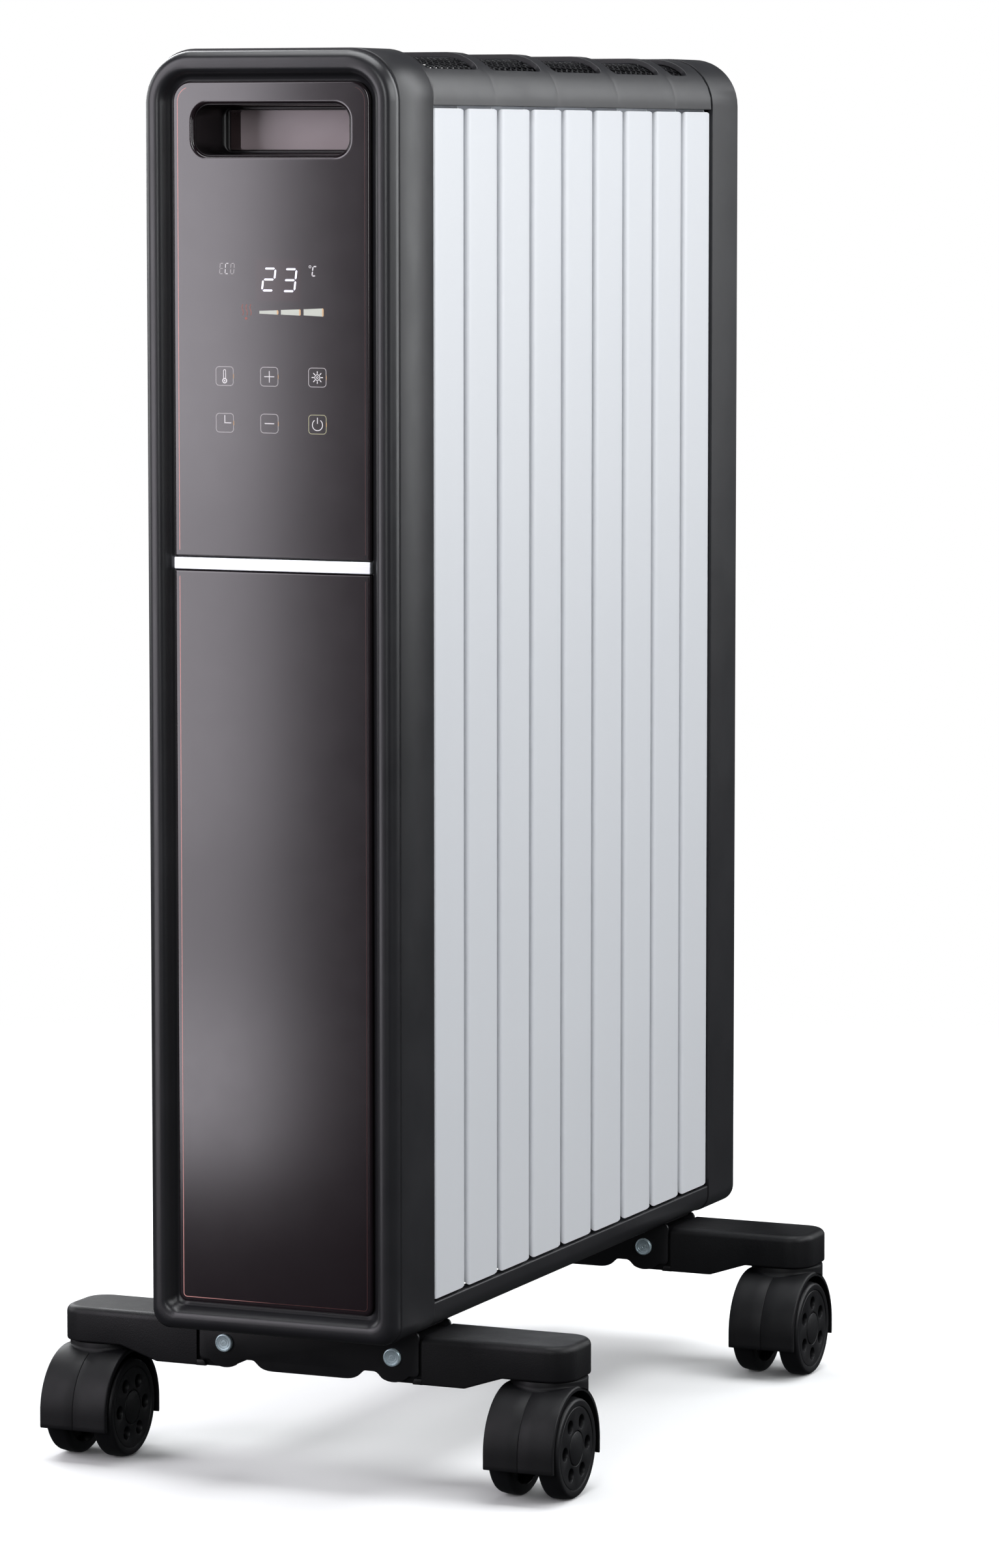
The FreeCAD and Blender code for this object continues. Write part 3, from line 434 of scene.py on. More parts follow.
def panels():
    """Two panes with rounded rims; the upper one has a lipped opening over the grip."""
    rim, lip, back = 0.9, 1.5, 1.0
    edge = [(0.0, back), (0.0, PANEL_FACE + rim)]
    edge += [(rim - rim * math.cos(a), PANEL_FACE + rim - rim * math.sin(a)) for a in quarter(5)]
    edge += [(rim + 0.3, PANEL_FACE)]
    lower = swept(edge, lambda i: panel_loop(i, PANEL_BOTTOM, STRIP_BOTTOM - PANEL_GAP, PANEL_LOW_R, 0.5))
    moulded("lower_pane", loft(lower, capped=True), "pane", 40, ("lower_panel",))
    upper = swept(edge, lambda i: panel_loop(i, STRIP_TOP + PANEL_GAP, PANEL_TOP, 0.5, PANEL_HIGH_R))
    opening = [(lip + 0.4, PANEL_FACE)]
    opening += [(lip - lip * math.sin(a) + 0.1, PANEL_FACE + lip - lip * math.cos(a))
                for a in [0.0] + quarter(6)]
    upper += swept(opening + [(0.1, back)], grip_loop)
    moulded("upper_pane", loft(upper, closed=True), "pane", 40, ("control_panel",))


def grip_loop(gap, side=0.0):
    """The grip's outline, grown by gap; side draws its ends in and squares its corners."""
    radius = max(GRIP_RADIUS + gap - 1.6 * side, 1.2)
    return rounded(GRIP_HALF + gap - side, GRIP_BOTTOM - gap, GRIP_TOP + gap, radius, radius)


def grip_pocket():
    """A cup in two steps, with a soft ridge where it narrows; the deep part is dark red."""
    section = [(0.0, -0.95, 0.0), (-0.25, -1.0, 0.0), (-0.55, 0.0, 0.0), (-0.9, 22.6, 0.8)]
    section += [(-0.9 - 0.8 * (1 - math.cos(a)), 22.6 + 0.8 * math.sin(a), 0.8 + 0.6 * math.sin(a))
                for a in quarter(3)]
    section += [(-2.0, 23.35, 1.9), (-2.2, 22.9, 2.4), (-2.4, 23.0, 2.6), (-2.5, 24.0, 2.8),
                (-2.7, 31.0, 3.8)]
    deep = len(section) - 2
    section += [(-0.7, 31.0, 0.0), (-0.7, 24.0, 0.0), (-0.01, 23.9, 0.0)]
    rings = [at_depth(grip_loop(gap, side), depth) for gap, depth, side in section]
    verts, faces = loft(rings, closed=True)
    mats = [int(deep <= i // len(rings[0]) < deep + 2) for i in range(len(faces))]
    me = build_mesh("grip_pocket", (verts, faces), ["pocket", "pocket_deep"], 45, face_mats=mats)
    piece("grip_pocket", me, ("handle_pocket",))
    rings = swept([(-0.8, 31.1), (-0.8, 32.4), (-1.0, 32.6)], grip_loop)
    moulded("grip_back", loft(rings, capped=True), "pocket_back", 45, ("handle_back",))


def strip():
    """The silver strip stands a little proud of the panes, with eased edges."""
    face, ease = PANEL_FACE - 0.5, 0.35
    section = [(0.0, 1.0), (0.0, face + ease), (0.1, face + 0.1), (ease, face), (ease + 0.2, face)]
    rings = swept(section, lambda i: rounded(PANEL_HALF + 0.2 - i, STRIP_BOTTOM + i, STRIP_TOP - i,
                                             0.6 - i, 0.6 - i, 4))
    moulded("silver_strip", loft(rings, capped=True), "trim", 50, ("trim_strip",))


def housing():
    """The front shell's wall, with the inward lip that holds the bezel."""
    section = [(0.5, 0.0), (0.15, 0.12), (0.0, 0.45), (0.0, HOUSING_DEPTH - 0.5),
               (0.12, HOUSING_DEPTH - 0.15), (0.5, HOUSING_DEPTH), (7.4, HOUSING_DEPTH),
               (7.4, HOUSING_DEPTH - 2), (2.4, HOUSING_DEPTH - 2), (2.4, 3.1), (14.6, 3.1), (14.6, 1.1),
               (2.4, 1.1), (2.4, 0.0)]
    rings = swept(section, lambda i: rounded(HALF - i, i, BODY_HEIGHT - i, max(BOTTOM_RADIUS - i, 0.5),
                                             TOP_RADIUS - i, 16))
    moulded("housing_shell", loft(rings, closed=True), "case", 50, ("front_housing",))


# ---- lit signs on the panel ----
SIGN_FRONT, SIGN_BACK = PANEL_FACE - 0.03, PANEL_FACE - 0.004


def plates(name, polygons, key, front=SIGN_FRONT, back=SIGN_BACK):
    """Thin raised marks from (x, height) outlines. A pair of outlines makes a ring."""
    parts = []
    for shape in polygons:
        if isinstance(shape, tuple):
            outer, inner = shape
            around = ((outer, back), (outer, front), (inner, front), (inner, back))
            parts.append(loft([at_depth(loop, d) for loop, d in around], closed=True))
        else:
            parts.append(loft([at_depth(shape, d) for d in (back, front)], capped=True))
    moulded(name, joined(parts), key, 20, ())


def bar(x0, z0, x1, z1, w, cut=0.0):
    """A straight stroke with its corners cut, or pointed ends where the cut takes half its width."""
    dx, dz = x1 - x0, z1 - z0
    length = math.hypot(dx, dz)
    ux, uz = dx / length, dz / length
    h = w / 2
    if cut < h:
        half = [(0, -h + cut), (cut, -h), (length - cut, -h), (length, -h + cut)]
        pts = half + [(u, -v) for u, v in reversed(half)]
    else:
        pts = [(0, 0), (h, -h), (length - h, -h), (length, 0), (length - h, h), (h, h)]
    return [(x0 + u * ux - v * uz, z0 + u * uz + v * ux) for u, v in pts]


SEGMENTS = {"2": "abged", "3": "abgcd", "E": "afged", "C": "afed", "O": "abcdef"}


def digit(char, x, z, w, h, stroke, slant=0.12, gap=0.12):
    """A seven-segment figure whose lower left corner is at (x, z)."""
    m = h / 2
    ends = {"a": (0, h, w, h), "b": (w, m, w, h), "c": (w, 0, w, m), "d": (0, 0, w, 0),
            "e": (0, 0, 0, m), "f": (0, m, 0, h), "g": (0, m, w, m)}
    shapes = []
    for key in SEGMENTS[char]:
        x0, z0, x1, z1 = ends[key]
        length = math.hypot(x1 - x0, z1 - z0)
        ux, uz = (x1 - x0) / length, (z1 - z0) / length
        pts = bar(x0 + gap * ux, z0 + gap * uz, x1 - gap * ux, z1 - gap * uz, stroke, stroke)
        shapes.append([(x + px + slant * pz, z + pz) for px, pz in pts])
    return shapes


def ring(x, z, r, w):
    return circle(x, z, r + w / 2), circle(x, z, r - w / 2)


def box_ring(x, z, w, h, r, t):
    return (rounded(w / 2, z - h / 2, z + h / 2, r, r, 6, x),
            rounded(w / 2 - t, z - h / 2 + t, z + h / 2 - t, r - t, r - t, 6, x))


def display():
    """The window with its figures, the small word and unit, the level bars and the heat mark."""
    plates("digit_window", [rounded(10.6, 452.6, 470.6, 0.4, 0.4, 4, 3.4)], "tint",
           PANEL_FACE - 0.012, PANEL_FACE - 0.002)
    plates("display_digits", digit("2", -4.3, 457.3, 5.4, 9.4, 0.85, gap=0.36)
           + digit("3", 5.7, 457.1, 5.4, 9.4, 0.85, gap=0.36), "digit_light")
    plates("display_word", digit("E", -24.6, 464.3, 1.55, 4.5, 0.3, 0.08, 0.14)
           + digit("O", -19.4, 464.3, 1.55, 4.5, 0.3, 0.08, 0.2), "dim_light")
    plates("display_letter", digit("C", -22.0, 464.3, 1.55, 4.5, 0.34, 0.08, 0.2), "mark_light")
    plates("display_unit", [ring(18.6, 467.6, 0.5, 0.22)] + digit("C", 19.5, 463.7, 1.7, 4.0, 0.5, 0.14),
           "mark_light")
    bars, tips = [], []
    for x0, x1, h0, h1 in ((-5.6, 3.5, 1.2, 1.9), (4.7, 14.1, 2.0, 2.7), (15.5, 25.0, 2.6, 3.5)):
        z = 447.9 + 0.12 * (h1 - 1.9)
        split = x1 - 0.75
        hs = h0 + (h1 - h0) * (split - x0) / (x1 - x0)
        bars.append([(x0, z - h0 / 2), (split, z - hs / 2), (split, z + hs / 2), (x0, z + h0 / 2)])
        tips.append([(split, z - hs / 2), (x1 - 0.3, z - h1 / 2), (x1, z - h1 / 2 + 0.4),
                     (x1, z + h1 / 2 - 0.4), (x1 - 0.3, z + h1 / 2), (split, z + hs / 2)])
    plates("level_bars", bars, "bar_light")
    plates("level_tips", tips, "warm_light")
    heat = [circle(-12.0, 445.2, 0.6, 16)]
    for n in range(3):
        wave = [(-13.6 + 1.9 * n + 0.35 * math.sin(1.1 * k), 446.5 + 0.8 * k) for k in range(7)]
        heat += [bar(*a, *b, 0.35, 0.05) for a, b in zip(wave, wave[1:])]
    plates("heat_mark", heat, "red_light")


def keys():
    """Six touch keys in two rows: frames, a painted warm glint at the side of each, and their icons."""
    left, middle, right = -22.4, -1.0, 21.9
    upper, lower = 420.2, 400.0
    places = [(x, z) for z in (upper, lower) for x in (left, middle, right)]
    frames = [box_ring(x, z, 8.6, 8.4, 1.6, 0.28) for x, z in places]
    # painted glints: a short warm glowing stroke at the right side of each key frame
    glints = [bar(x + 4.22, z - 1.0, x + 4.22, z + 1.0, 0.4, 0.15) for x, z in places]

    def stroke(x, z, x0, z0, x1, z1, w=0.36):
        return bar(x + x0, z + z0, x + x1, z + z1, w, 0.1)

    icons = [box_ring(left, upper + 0.8, 1.3, 4.2, 0.6, 0.28), ring(left, upper - 2.0, 0.95, 0.45),
             circle(left, upper - 2.0, 0.36, 12)]
    icons += [stroke(middle, upper, -2.4, 0, 2.4, 0), stroke(middle, upper, 0, -2.5, 0, -0.18),
              stroke(middle, upper, 0, 0.18, 0, 2.5)]
    icons += [ring(right, upper, 1.2, 0.3), ring(right, upper, 0.42, 0.24)]
    for k in range(8):
        x, z = math.cos(math.pi * k / 4), math.sin(math.pi * k / 4)
        icons.append(stroke(right, upper, 1.55 * x, 1.55 * z, 2.7 * x, 2.7 * z, 0.4))
    icons += [stroke(left, lower, 0, -0.2, 0, 3.4), stroke(left, lower, 0.2, 0, 3.1, 0),
              stroke(middle, lower, -2.3, 0, 2.3, 0, 0.4), stroke(right, lower, 0, 0.3, 0, 3.0)]
    outer = arc(right, lower - 0.2, 2.6, 125, 415, 22)
    inner = arc(right, lower - 0.2, 2.25, 125, 415, 22)
    icons += [[outer[k], outer[k + 1], inner[k + 1], inner[k]] for k in range(22)]
    plates("power_frame", [frames.pop()], "amber_light")
    plates("key_frames", frames, "dim_light")
    plates("key_icons", icons, "mark_light")
    plates("key_painted_glints", glints, "warm_light")


def edge_line():
    """A fine tinted line near the panels' edges: sides and bottom, broken at the metal strip."""
    inset, width, clear = 2.2, 0.32, 3.0
    shapes = []
    outer, inner = [panel_loop(i, PANEL_BOTTOM, PANEL_TOP, PANEL_LOW_R, PANEL_HIGH_R)
                    for i in (inset, inset + width)]
    for k in range(len(outer)):
        m = (k + 1) % len(outer)
        low, high = sorted((outer[k][1], outer[m][1]))
        if low > PANEL_TOP - inset - 0.6:
            continue
        if high - low > 200:
            xo, xi = outer[k][0], inner[k][0]
            for za, zb in ((low, STRIP_BOTTOM - clear), (STRIP_TOP + clear, high)):
                shapes.append([(xo, za), (xo, zb), (xi, zb), (xi, za)])
        else:
            shapes.append([outer[k], outer[m], inner[m], inner[k]])
    plates("edge_line", shapes, "edge_tint_painted_light", PANEL_FACE - 0.02, PANEL_FACE - 0.003)


# ---- fins ----
def fin_side_mesh():
    """The right-hand side of one fin, at the first fin's place."""
    d0, d1, out = FIN_START, FIN_START + FIN_FACE, FIN_OUTER
    r = 2.0
    turn = [0.0] + quarter(6)
    plan = [(out - 5.5, d0), (out - 3.6, d0)]
    plan += [(out - r + r * math.sin(a), d0 + r - r * math.cos(a)) for a in turn]
    plan += [(out, d0 + r + (FIN_FACE - 2 * r) * k / 12) for k in range(1, 12)]
    plan += [(out - r + r * math.cos(a), d1 - r + r * math.sin(a)) for a in turn]
    plan += [(out - 3.0, d1)]

    def corner_drop(reach, distance):
        """How much of the height a rounded corner takes, by the distance from its edge."""
        t = min(max((reach - distance) / reach, 0.0), 1.0)
        return reach - reach * math.sqrt(1 - t * t)

    verts, faces = [], []
    heights = [0, 0.0006, 0.0016] + [k / 24 for k in range(1, 24)] + [0.9984, 0.9994, 1]
    for x, d in plan:
        cut = max(corner_drop(4.0, d1 - d), corner_drop(1.2, d - d0))
        lo, hi = FIN_BOTTOM + cut, FIN_TOP - cut
        verts += [(x, d, lo + (hi - lo) * t) for t in heights]
    n = len(heights)
    for i in range(len(plan) - 1):
        for k in range(n - 1):
            faces.append((i * n + k, (i + 1) * n + k, (i + 1) * n + k + 1, i * n + k + 1))
    return verts, faces


def smooth_block(x, z, x0, x1, z0, z1, soft=4.0):
    """1 inside a rectangle, and falling smoothly to 0 at soft outside it."""
    t = min(math.hypot(max(x0 - x, x - x1, 0), max(z0 - z, z - z1, 0)) / soft, 1.0)
    return 1 - t * t * (3 - 2 * t)


def fin_core_mesh():
    """The pressed core: a sheet with smooth raised oil channels, at the first fin's place."""
    half, back = 56.1, FIN_START + FIN_FACE
    nx, nz = 44, 150
    low, high = COLLECTORS

    def crest(x):
        return FIN_TOP + 15.0 * math.sqrt(min(max((half - abs(x)) / 12.0, 0.0), 1.0))

    def rise(x, z):
        channels = [smooth_block(x, z, cx - 6, cx + 6, low - 18, high + 18) for cx in (-32, 0, 32)]
        return max(channels + [smooth_block(x, z, -38, 38, cz - 20, cz + 20) for cz in COLLECTORS])

    verts, faces = [], []
    for side in (0, 1):
        for i in range(nx + 1):
            x = -half + 2 * half * i / nx
            for k in range(nz + 1):
                z = FIN_BOTTOM + (crest(x) - FIN_BOTTOM) * k / nz
                verts.append((x, back - 0.02 if side else back - SHEET - 6.9 * rise(x, z), z))
    m = nz + 1
    base = (nx + 1) * m
    for i in range(nx):
        for k in range(nz):
            for a in (i * m + k, base + i * m + k):
                faces.append((a, a + m, a + m + 1, a + 1))
    rims = [(i * m + k, i * m + k + m) for i in range(nx) for k in (0, nz)]
    rims += [(i * m + k, i * m + k + 1) for k in range(nz) for i in (0, nx)]
    return verts, faces + [(a, b, base + b, base + a) for a, b in rims]


def collector(d0, d1, z, radius=18.0, bore=15.0, edge=0.6):
    """A collector ring along the depth, with eased edges."""
    section = [(bore, d0), (radius - edge, d0), (radius, d0 + edge), (radius, d1 - edge),
               (radius - edge, d1), (bore, d1)]
    return loft(swept(section, lambda r: circle(0, z, r, 36)), closed=True)


def fins():
    """Nine fins from three shared meshes, and each fin's two collector rings."""
    verts, faces = fin_side_mesh()
    mirrored = [(-x, d, z) for x, d, z in verts]
    meshes = {"right": build_mesh("fin_side_right", (verts, faces), ["fin"], 60),
              "left": build_mesh("fin_side_left", (mirrored, faces), ["fin"], 60),
              "core": build_mesh("fin_core", fin_core_mesh(), ["fin"], 60)}
    for n in range(FIN_COUNT):
        name = "fin_%d" % (n + 1)
        d0 = FIN_START + n * FIN_PITCH
        for label, me in meshes.items():
            piece("%s_%s" % (name, label), me, (name,) if label == "right" else (),
                  wall=0.0 if label == "core" else SHEET, place=(0, n * FIN_PITCH / 1000, 0))
        behind = d0 + FIN_FACE - FIN_PITCH + 0.05
        starts = (behind, behind) if n else (HOUSING_DEPTH - 3, d0 + 1)
        rings = [collector(start, d0 + FIN_FACE - SHEET - 7.1, z) for start, z in zip(starts, COLLECTORS)]
        moulded(name + "_collectors", joined(rings), "fin", 50, ())


# ---- top cover and its guards ----
COVER_INSET, COVER_WALL = 0.5, 2.4
COVER_EDGE = 536.6
VENT_EDGE = 552.7


def arch_point(s, inset, depth):
    """A point on the arch by distance s along it from the middle, measured on the cover's face."""
    r_face = TOP_RADIUS - COVER_INSET
    flat = HALF - TOP_RADIUS
    r = TOP_RADIUS - inset
    side = 1 if s > 0 else -1
    s = abs(s)
    top = BODY_HEIGHT - TOP_RADIUS
    if s <= flat:
        return (side * s, depth, top + r)
    turn = (s - flat) / r_face
    if turn <= math.pi / 2:
        return (side * (flat + r * math.sin(turn)), depth, top + r * math.cos(turn))
    drop = (turn - math.pi / 2) * r_face
    return (side * (flat + r), depth, top - drop)


def vent_spans():
    return [(38.0 + 70.8 * n, min(98.0 + 70.8 * n, 346.0)) for n in range(5)]


def arch_length(height):
    """Distance along the arch from the middle down to a height."""
    r = TOP_RADIUS - COVER_INSET
    top = BODY_HEIGHT - TOP_RADIUS
    if height < top:
        return HALF - TOP_RADIUS + r * math.pi / 2 + (top - height)
    return HALF - TOP_RADIUS + r * math.acos((height - top) / r)


def top_cover():
    """The arch, one bay for each vent: a grid from the vent's rounded edge out to the bay's edge."""
    s_vent, s_edge = arch_length(VENT_EDGE), arch_length(COVER_EDGE)
    spans = vent_spans()
    front, rear = HOUSING_DEPTH + 0.9, REAR_START - 0.7
    cuts = [front] + [(a[1] + b[0]) / 2 for a, b in zip(spans, spans[1:])] + [rear]
    bays = []
    arc_n, radius, steps = 8, 5.0, 7
    for (v0, v1), c0, c1 in zip(spans, cuts, cuts[1:]):
        inner, outer = [], []
        corners = ((s_vent, v0, 1, -1, 270), (s_vent, v1, 1, 1, 0), (-s_vent, v1, -1, 1, 90),
                   (-s_vent, v0, -1, -1, 180))
        for index, (s, d, ss, sd, start) in enumerate(corners):
            cs, cd = s - ss * radius, d - sd * radius
            for k in range(arc_n + 1):
                a = math.radians(start + 90 * k / arc_n)
                inner.append((cs + radius * math.cos(a), cd + radius * math.sin(a)))
                along_d, along_s = c0 if sd < 0 else c1, ss * s_edge
                u, w = min(2 * k / arc_n, 1.0), max(2 * k / arc_n - 1, 0.0)
                if start in (270, 90):
                    outer.append((cs + (along_s - cs) * u, along_d + (cd - along_d) * w))
                else:
                    outer.append((along_s + (cs - along_s) * w, cd + (along_d - cd) * u))
            after = corners[(index + 1) % 4]
            if index in (0, 2):
                end = after[1] - after[3] * radius
                run = [cd + (end - cd) * k / 6 for k in range(1, 6)]
                inner += [(s, here) for here in run]
                outer += [(ss * s_edge, here) for here in run]
            else:
                end = after[0] - after[2] * radius
                run = [cs + (end - cs) * k / 30 for k in range(1, 30)]
                inner += [(here, d) for here in run]
                outer += [(here, c1 if sd > 0 else c0) for here in run]
        rings = [[arch_point(s0 + (s1 - s0) * k / steps, COVER_INSET, e0 + (e1 - e0) * k / steps)
                  for (s0, e0), (s1, e1) in zip(inner, outer)] for k in range(steps + 1)]
        bays.append(loft(rings))
    me = build_mesh("cover_arch", joined(bays), ["case"], 60)
    for edge in me.edges:
        edge.use_edge_sharp = False
    bevelled(piece("cover_arch", me, ("top_cover",), wall=COVER_WALL), 0.55, 3)


def vent_guards():
    """Expanded steel under each vent: zigzag strands that meet to form long diamonds."""
    inset = COVER_INSET + COVER_WALL + 0.35
    s_max = arch_length(VENT_EDGE - 4.5)
    pitch, long, width, thick = 5.6, 13.0, 0.75, 0.5
    rows = int(2 * s_max // pitch)
    section = ((-width / 2, 0), (width / 2, 0), (width / 2, thick), (-width / 2, thick))
    strands = []
    for d0, d1 in vent_spans():
        d0, d1 = d0 - 1.0, d1 + 1.0
        count = max(int(round((d1 - d0) / long * 2)), 2)
        step = (d1 - d0) / count
        for row in range(rows):
            centre = -s_max + (row + 0.5) * 2 * s_max / rows
            reach = s_max / rows - width / 2 + 0.05
            for phase in (0, 1):
                points = []
                for k in range(count + 1):
                    up = 1 if (k + phase) % 2 else -1
                    if row % 2:
                        up = -up
                    points.append((centre + up * reach, d0 + k * step))
                strands.append(loft([[arch_point(s + ds, inset + di, d) for ds, di in section]
                                     for s, d in points], capped=True))
    moulded("guard_strands", joined(strands), "mesh", 30, ("vent_mesh",))


# ---- feet ----
ARM_START, ARM_END, ARM_CORNER = 55.2, 124.9, 11.5
ARM_TOP, ARM_SHALLOW, ARM_DEEP = -1.8, -17.6, -23.5
BRACKET_END, PLATE = 53.8, 1.5


def soften(points, radius, n=5):
    """Rounds the corners of a closed outline; radius gives each corner its own reach."""
    made = []
    count = len(points)
    for k in range(count):
        here, reach = Vector(points[k]), radius[k]
        if reach <= 0:
            made.append(tuple(here))
            continue
        before, after = Vector(points[k - 1]), Vector(points[(k + 1) % count])
        a = here + (before - here).normalized() * min(reach, 0.49 * (before - here).length)
        b = here + (after - here).normalized() * min(reach, 0.49 * (after - here).length)
        for m in range(n + 1):
            t = m / n
            made.append(tuple(a * (1 - t) ** 2 + here * 2 * t * (1 - t) + b * t * t))
    return made


def prism(shape, d0, d1, ease=0.35):
    """An upright plate from an (x, height) outline, with eased edges at both faces."""
    count = len(shape)
    area = sum(shape[k - 1][0] * shape[k][1] - shape[k][0] * shape[k - 1][1] for k in range(count))
    turn = 1 if area > 0 else -1

    def inset(amount):
        loop = []
        for k in range(count):
            a, b, c = (Vector(shape[(k + s) % count]) for s in (-1, 0, 1))
            u, v = (b - a), (c - b)
            if u.length < 1e-6 or v.length < 1e-6:
                loop.append(tuple(b))
                continue
            u.normalize()
            v.normalize()
            na, nb = Vector((-u.y, u.x)) * turn, Vector((-v.y, v.x)) * turn
            mid = na + nb
            mid = mid / max(mid.length_squared, 0.5) * 2
            loop.append(tuple(b + mid * amount))
        return loop

    section = ((ease, d0), (0.3 * ease, d0 + 0.3 * ease), (0, d0 + ease), (0, d1 - ease),
               (0.3 * ease, d1 - 0.3 * ease), (ease, d1))
    return loft(swept(section, inset), capped=True)


def bracket_outline():
    lobe = [(PIVOT_X + x, PIVOT_Z + z) for x, z in arc(0, 0, 11.3, -118, -46, 12)]
    right = [((22.5, -23.5), 5.0), ((27.0, -19.2), 1.2), ((33.0, -19.2), 1.5)]
    right += [(p, 0) for p in lobe]
    right += [((BRACKET_END, -20.2), 2.5), ((BRACKET_END, -0.1), 3.0)]
    points = [p for p, _ in right] + [(-x, z) for (x, z), _ in reversed(right)]
    radii = [r for _, r in right] + [r for _, r in reversed(right)]
    return soften(points, radii)


def brackets():
    """Each bracket: two steel plates joined by a web under the body."""
    shape = bracket_outline()
    web = rounded(BRACKET_END - 3, -1.6, -0.1, 0.7, 0.7, 4)
    for end, d0 in FOOT_DEPTH.items():
        d1 = d0 + FOOT_WIDTH
        parts = [prism(shape, d0, d0 + PLATE), prism(shape, d1 - PLATE, d1),
                 prism(web, d0 + PLATE - 0.1, d1 - PLATE + 0.1, 0.02)]
        moulded("bracket_" + end, joined(parts), "bracket", 40, ("foot_bracket_" + end,))


def arm_bottom(x):
    """Height of the beam's lower edge: deep near the hinge, shallow over the caster."""
    t = min(max((x - 75.6) / (93.5 - 75.6), 0), 1)
    return ARM_DEEP + (ARM_SHALLOW - ARM_DEEP) * t


def arm_loop(inset, d0):
    """Points round the beam's plan as (x, depth): squared at the hinge, rounded at the end."""
    d1 = d0 + FOOT_WIDTH
    start = ARM_START + min(inset, 0.5)
    runs = [start, 58.0, 62.0, 68.0, 75.2, 76.0, 82.0, 88.0, 93.1, 93.9, 98.0, 104.0, 109.0]
    r = ARM_CORNER
    cx = ARM_END - r
    loop = [(x, d0 + inset) for x in runs]
    loop += arc(cx, d0 + r, r - inset, -90, 0, 12)
    loop += [(ARM_END - inset, d0 + r + (FOOT_WIDTH - 2 * r) * k / 4) for k in (1, 2, 3)]
    loop += arc(cx, d1 - r, r - inset, 0, 90, 12)
    loop += [(x, d1 - inset) for x in reversed(runs)]
    loop += [(start, d1 - inset - (FOOT_WIDTH - 2 * inset) * k / 6) for k in range(1, 6)]
    return loop


def beam(d0):
    """The plastic beam: a rolled top edge, a step in its underside, and hollow from below."""
    edge = 3.2
    rings = [[(x, d, ARM_TOP) for x, d in arm_loop(edge + 0.6, d0)]]
    for a in [0.0] + quarter(8):
        rings.append([(x, d, ARM_TOP - edge * (1 - math.cos(a))) for x, d in
                      arm_loop(edge * (1 - math.sin(a)), d0)])
    for inset, rise in ((0.0, 0.9), (0.08, 0.5), (0.25, 0.2), (0.55, 0.03), (0.9, 0.0)):
        rings.append([(x, d, arm_bottom(x) + rise) for x, d in arm_loop(inset, d0)])
    lo, hi, wall = ARM_START + 4, 94.8, 2.4
    cut = [(min(max(x, lo), hi), min(max(d, d0 + wall), d0 + FOOT_WIDTH - wall))
           for x, d in arm_loop(0, d0)]
    rings.append([(x, d, arm_bottom(x)) for x, d in cut])
    rings.append([(x, d, ARM_TOP - wall) for x, d in cut])
    return loft(rings, capped=True)


def tongue(d0):
    """The hinge end: it fills the bracket, and a small foot shows under the bracket's corner."""
    side = 16.2
    mid = d0 + FOOT_WIDTH / 2
    eye = [(PIVOT_X + x, PIVOT_Z + z) for x, z in arc(0, 0, 8.6, 90, 200, 12)]
    shape = [(34.0, -17.0), (39.0, ARM_DEEP), (ARM_START + 0.5, ARM_DEEP), (ARM_START + 0.5, -3.5)]
    body = soften(shape, [1.5, 1.0, 0.3, 0.3], 3) + eye
    foot = soften([(50.6, ARM_DEEP), (ARM_START + 0.5, ARM_DEEP), (ARM_START + 0.5, -20.8), (51.6, -20.8)],
                  [0.4, 0.3, 0.3, 0.8], 3)
    return joined([prism(body, mid - side, mid + side, 0.4), prism(foot, d0, d0 + FOOT_WIDTH, 0.3)])


def arms():
    for corner in CORNERS:
        end, side = corner.split("_")
        verts, faces = joined([beam(FOOT_DEPTH[end]), tongue(FOOT_DEPTH[end])])
        verts = [(SIGN[side] * x, d, z) for x, d, z in verts]
        name = "arm_" + corner
        moulded(name, (verts, faces), "foot", 40, ("foot_" + name,), name)


def rivets():
    """Zinc pins with turned faces: shallow rings about a small centre mark."""
    head = [(0.02, -0.98), (0.35, -1.0), (0.5, -1.14), (1.35, -1.12), (1.45, -1.2), (1.55, -1.12),
            (2.35, -1.16), (2.45, -1.26), (2.55, -1.18), (3.3, -1.24), (3.42, -1.5), (3.62, -1.5),
            (3.88, -1.4), (4.05, -1.15), (4.1, -0.85), (4.1, 0.02), (3.0, 0.02)]
    parts = []
    for d0 in FOOT_DEPTH.values():
        profile = [(r, d0 + d) for r, d in head] + [(r, d0 + FOOT_WIDTH - d) for r, d in reversed(head)]
        for x in (-PIVOT_X, PIVOT_X):
            parts.append(loft(swept(profile, lambda r: circle(x, PIVOT_Z, r, 48)), capped=True))
    moulded("hinge_rivets", joined(parts), "zinc", 28, ("pivot_rivets",))


# ---- casters, about the stem axis with the floor at height 0 ----
HOOD_R, HOOD_WALL, HOOD_HALF, HOOD_LOW, HOOD_WEB = 27.3, 2.0, 16.6, 15.5, 5.4
NECK_R, NECK_TOP = 17.2, LIFT + ARM_SHALLOW - 0.3


def stem_place(corner):
    end, side = corner.split("_")
    return (SIGN[side] * STEM_X, FRONT_Y + FOOT_DEPTH[end] + FOOT_WIDTH / 2, 0)


def arch_profile(radius, low, n=40):
    """(y, z) from the front skirt over the top to the rear skirt."""
    pts = [(-TRAIL - radius, low + (WHEEL_R - low) * k / 4) for k in range(4)]
    pts += [(-TRAIL - radius * math.cos(math.pi * k / n), WHEEL_R + radius * math.sin(math.pi * k / n))
            for k in range(n + 1)]
    pts += [(-TRAIL + radius, WHEEL_R - (WHEEL_R - low) * (k + 1) / 4) for k in range(4)]
    return pts


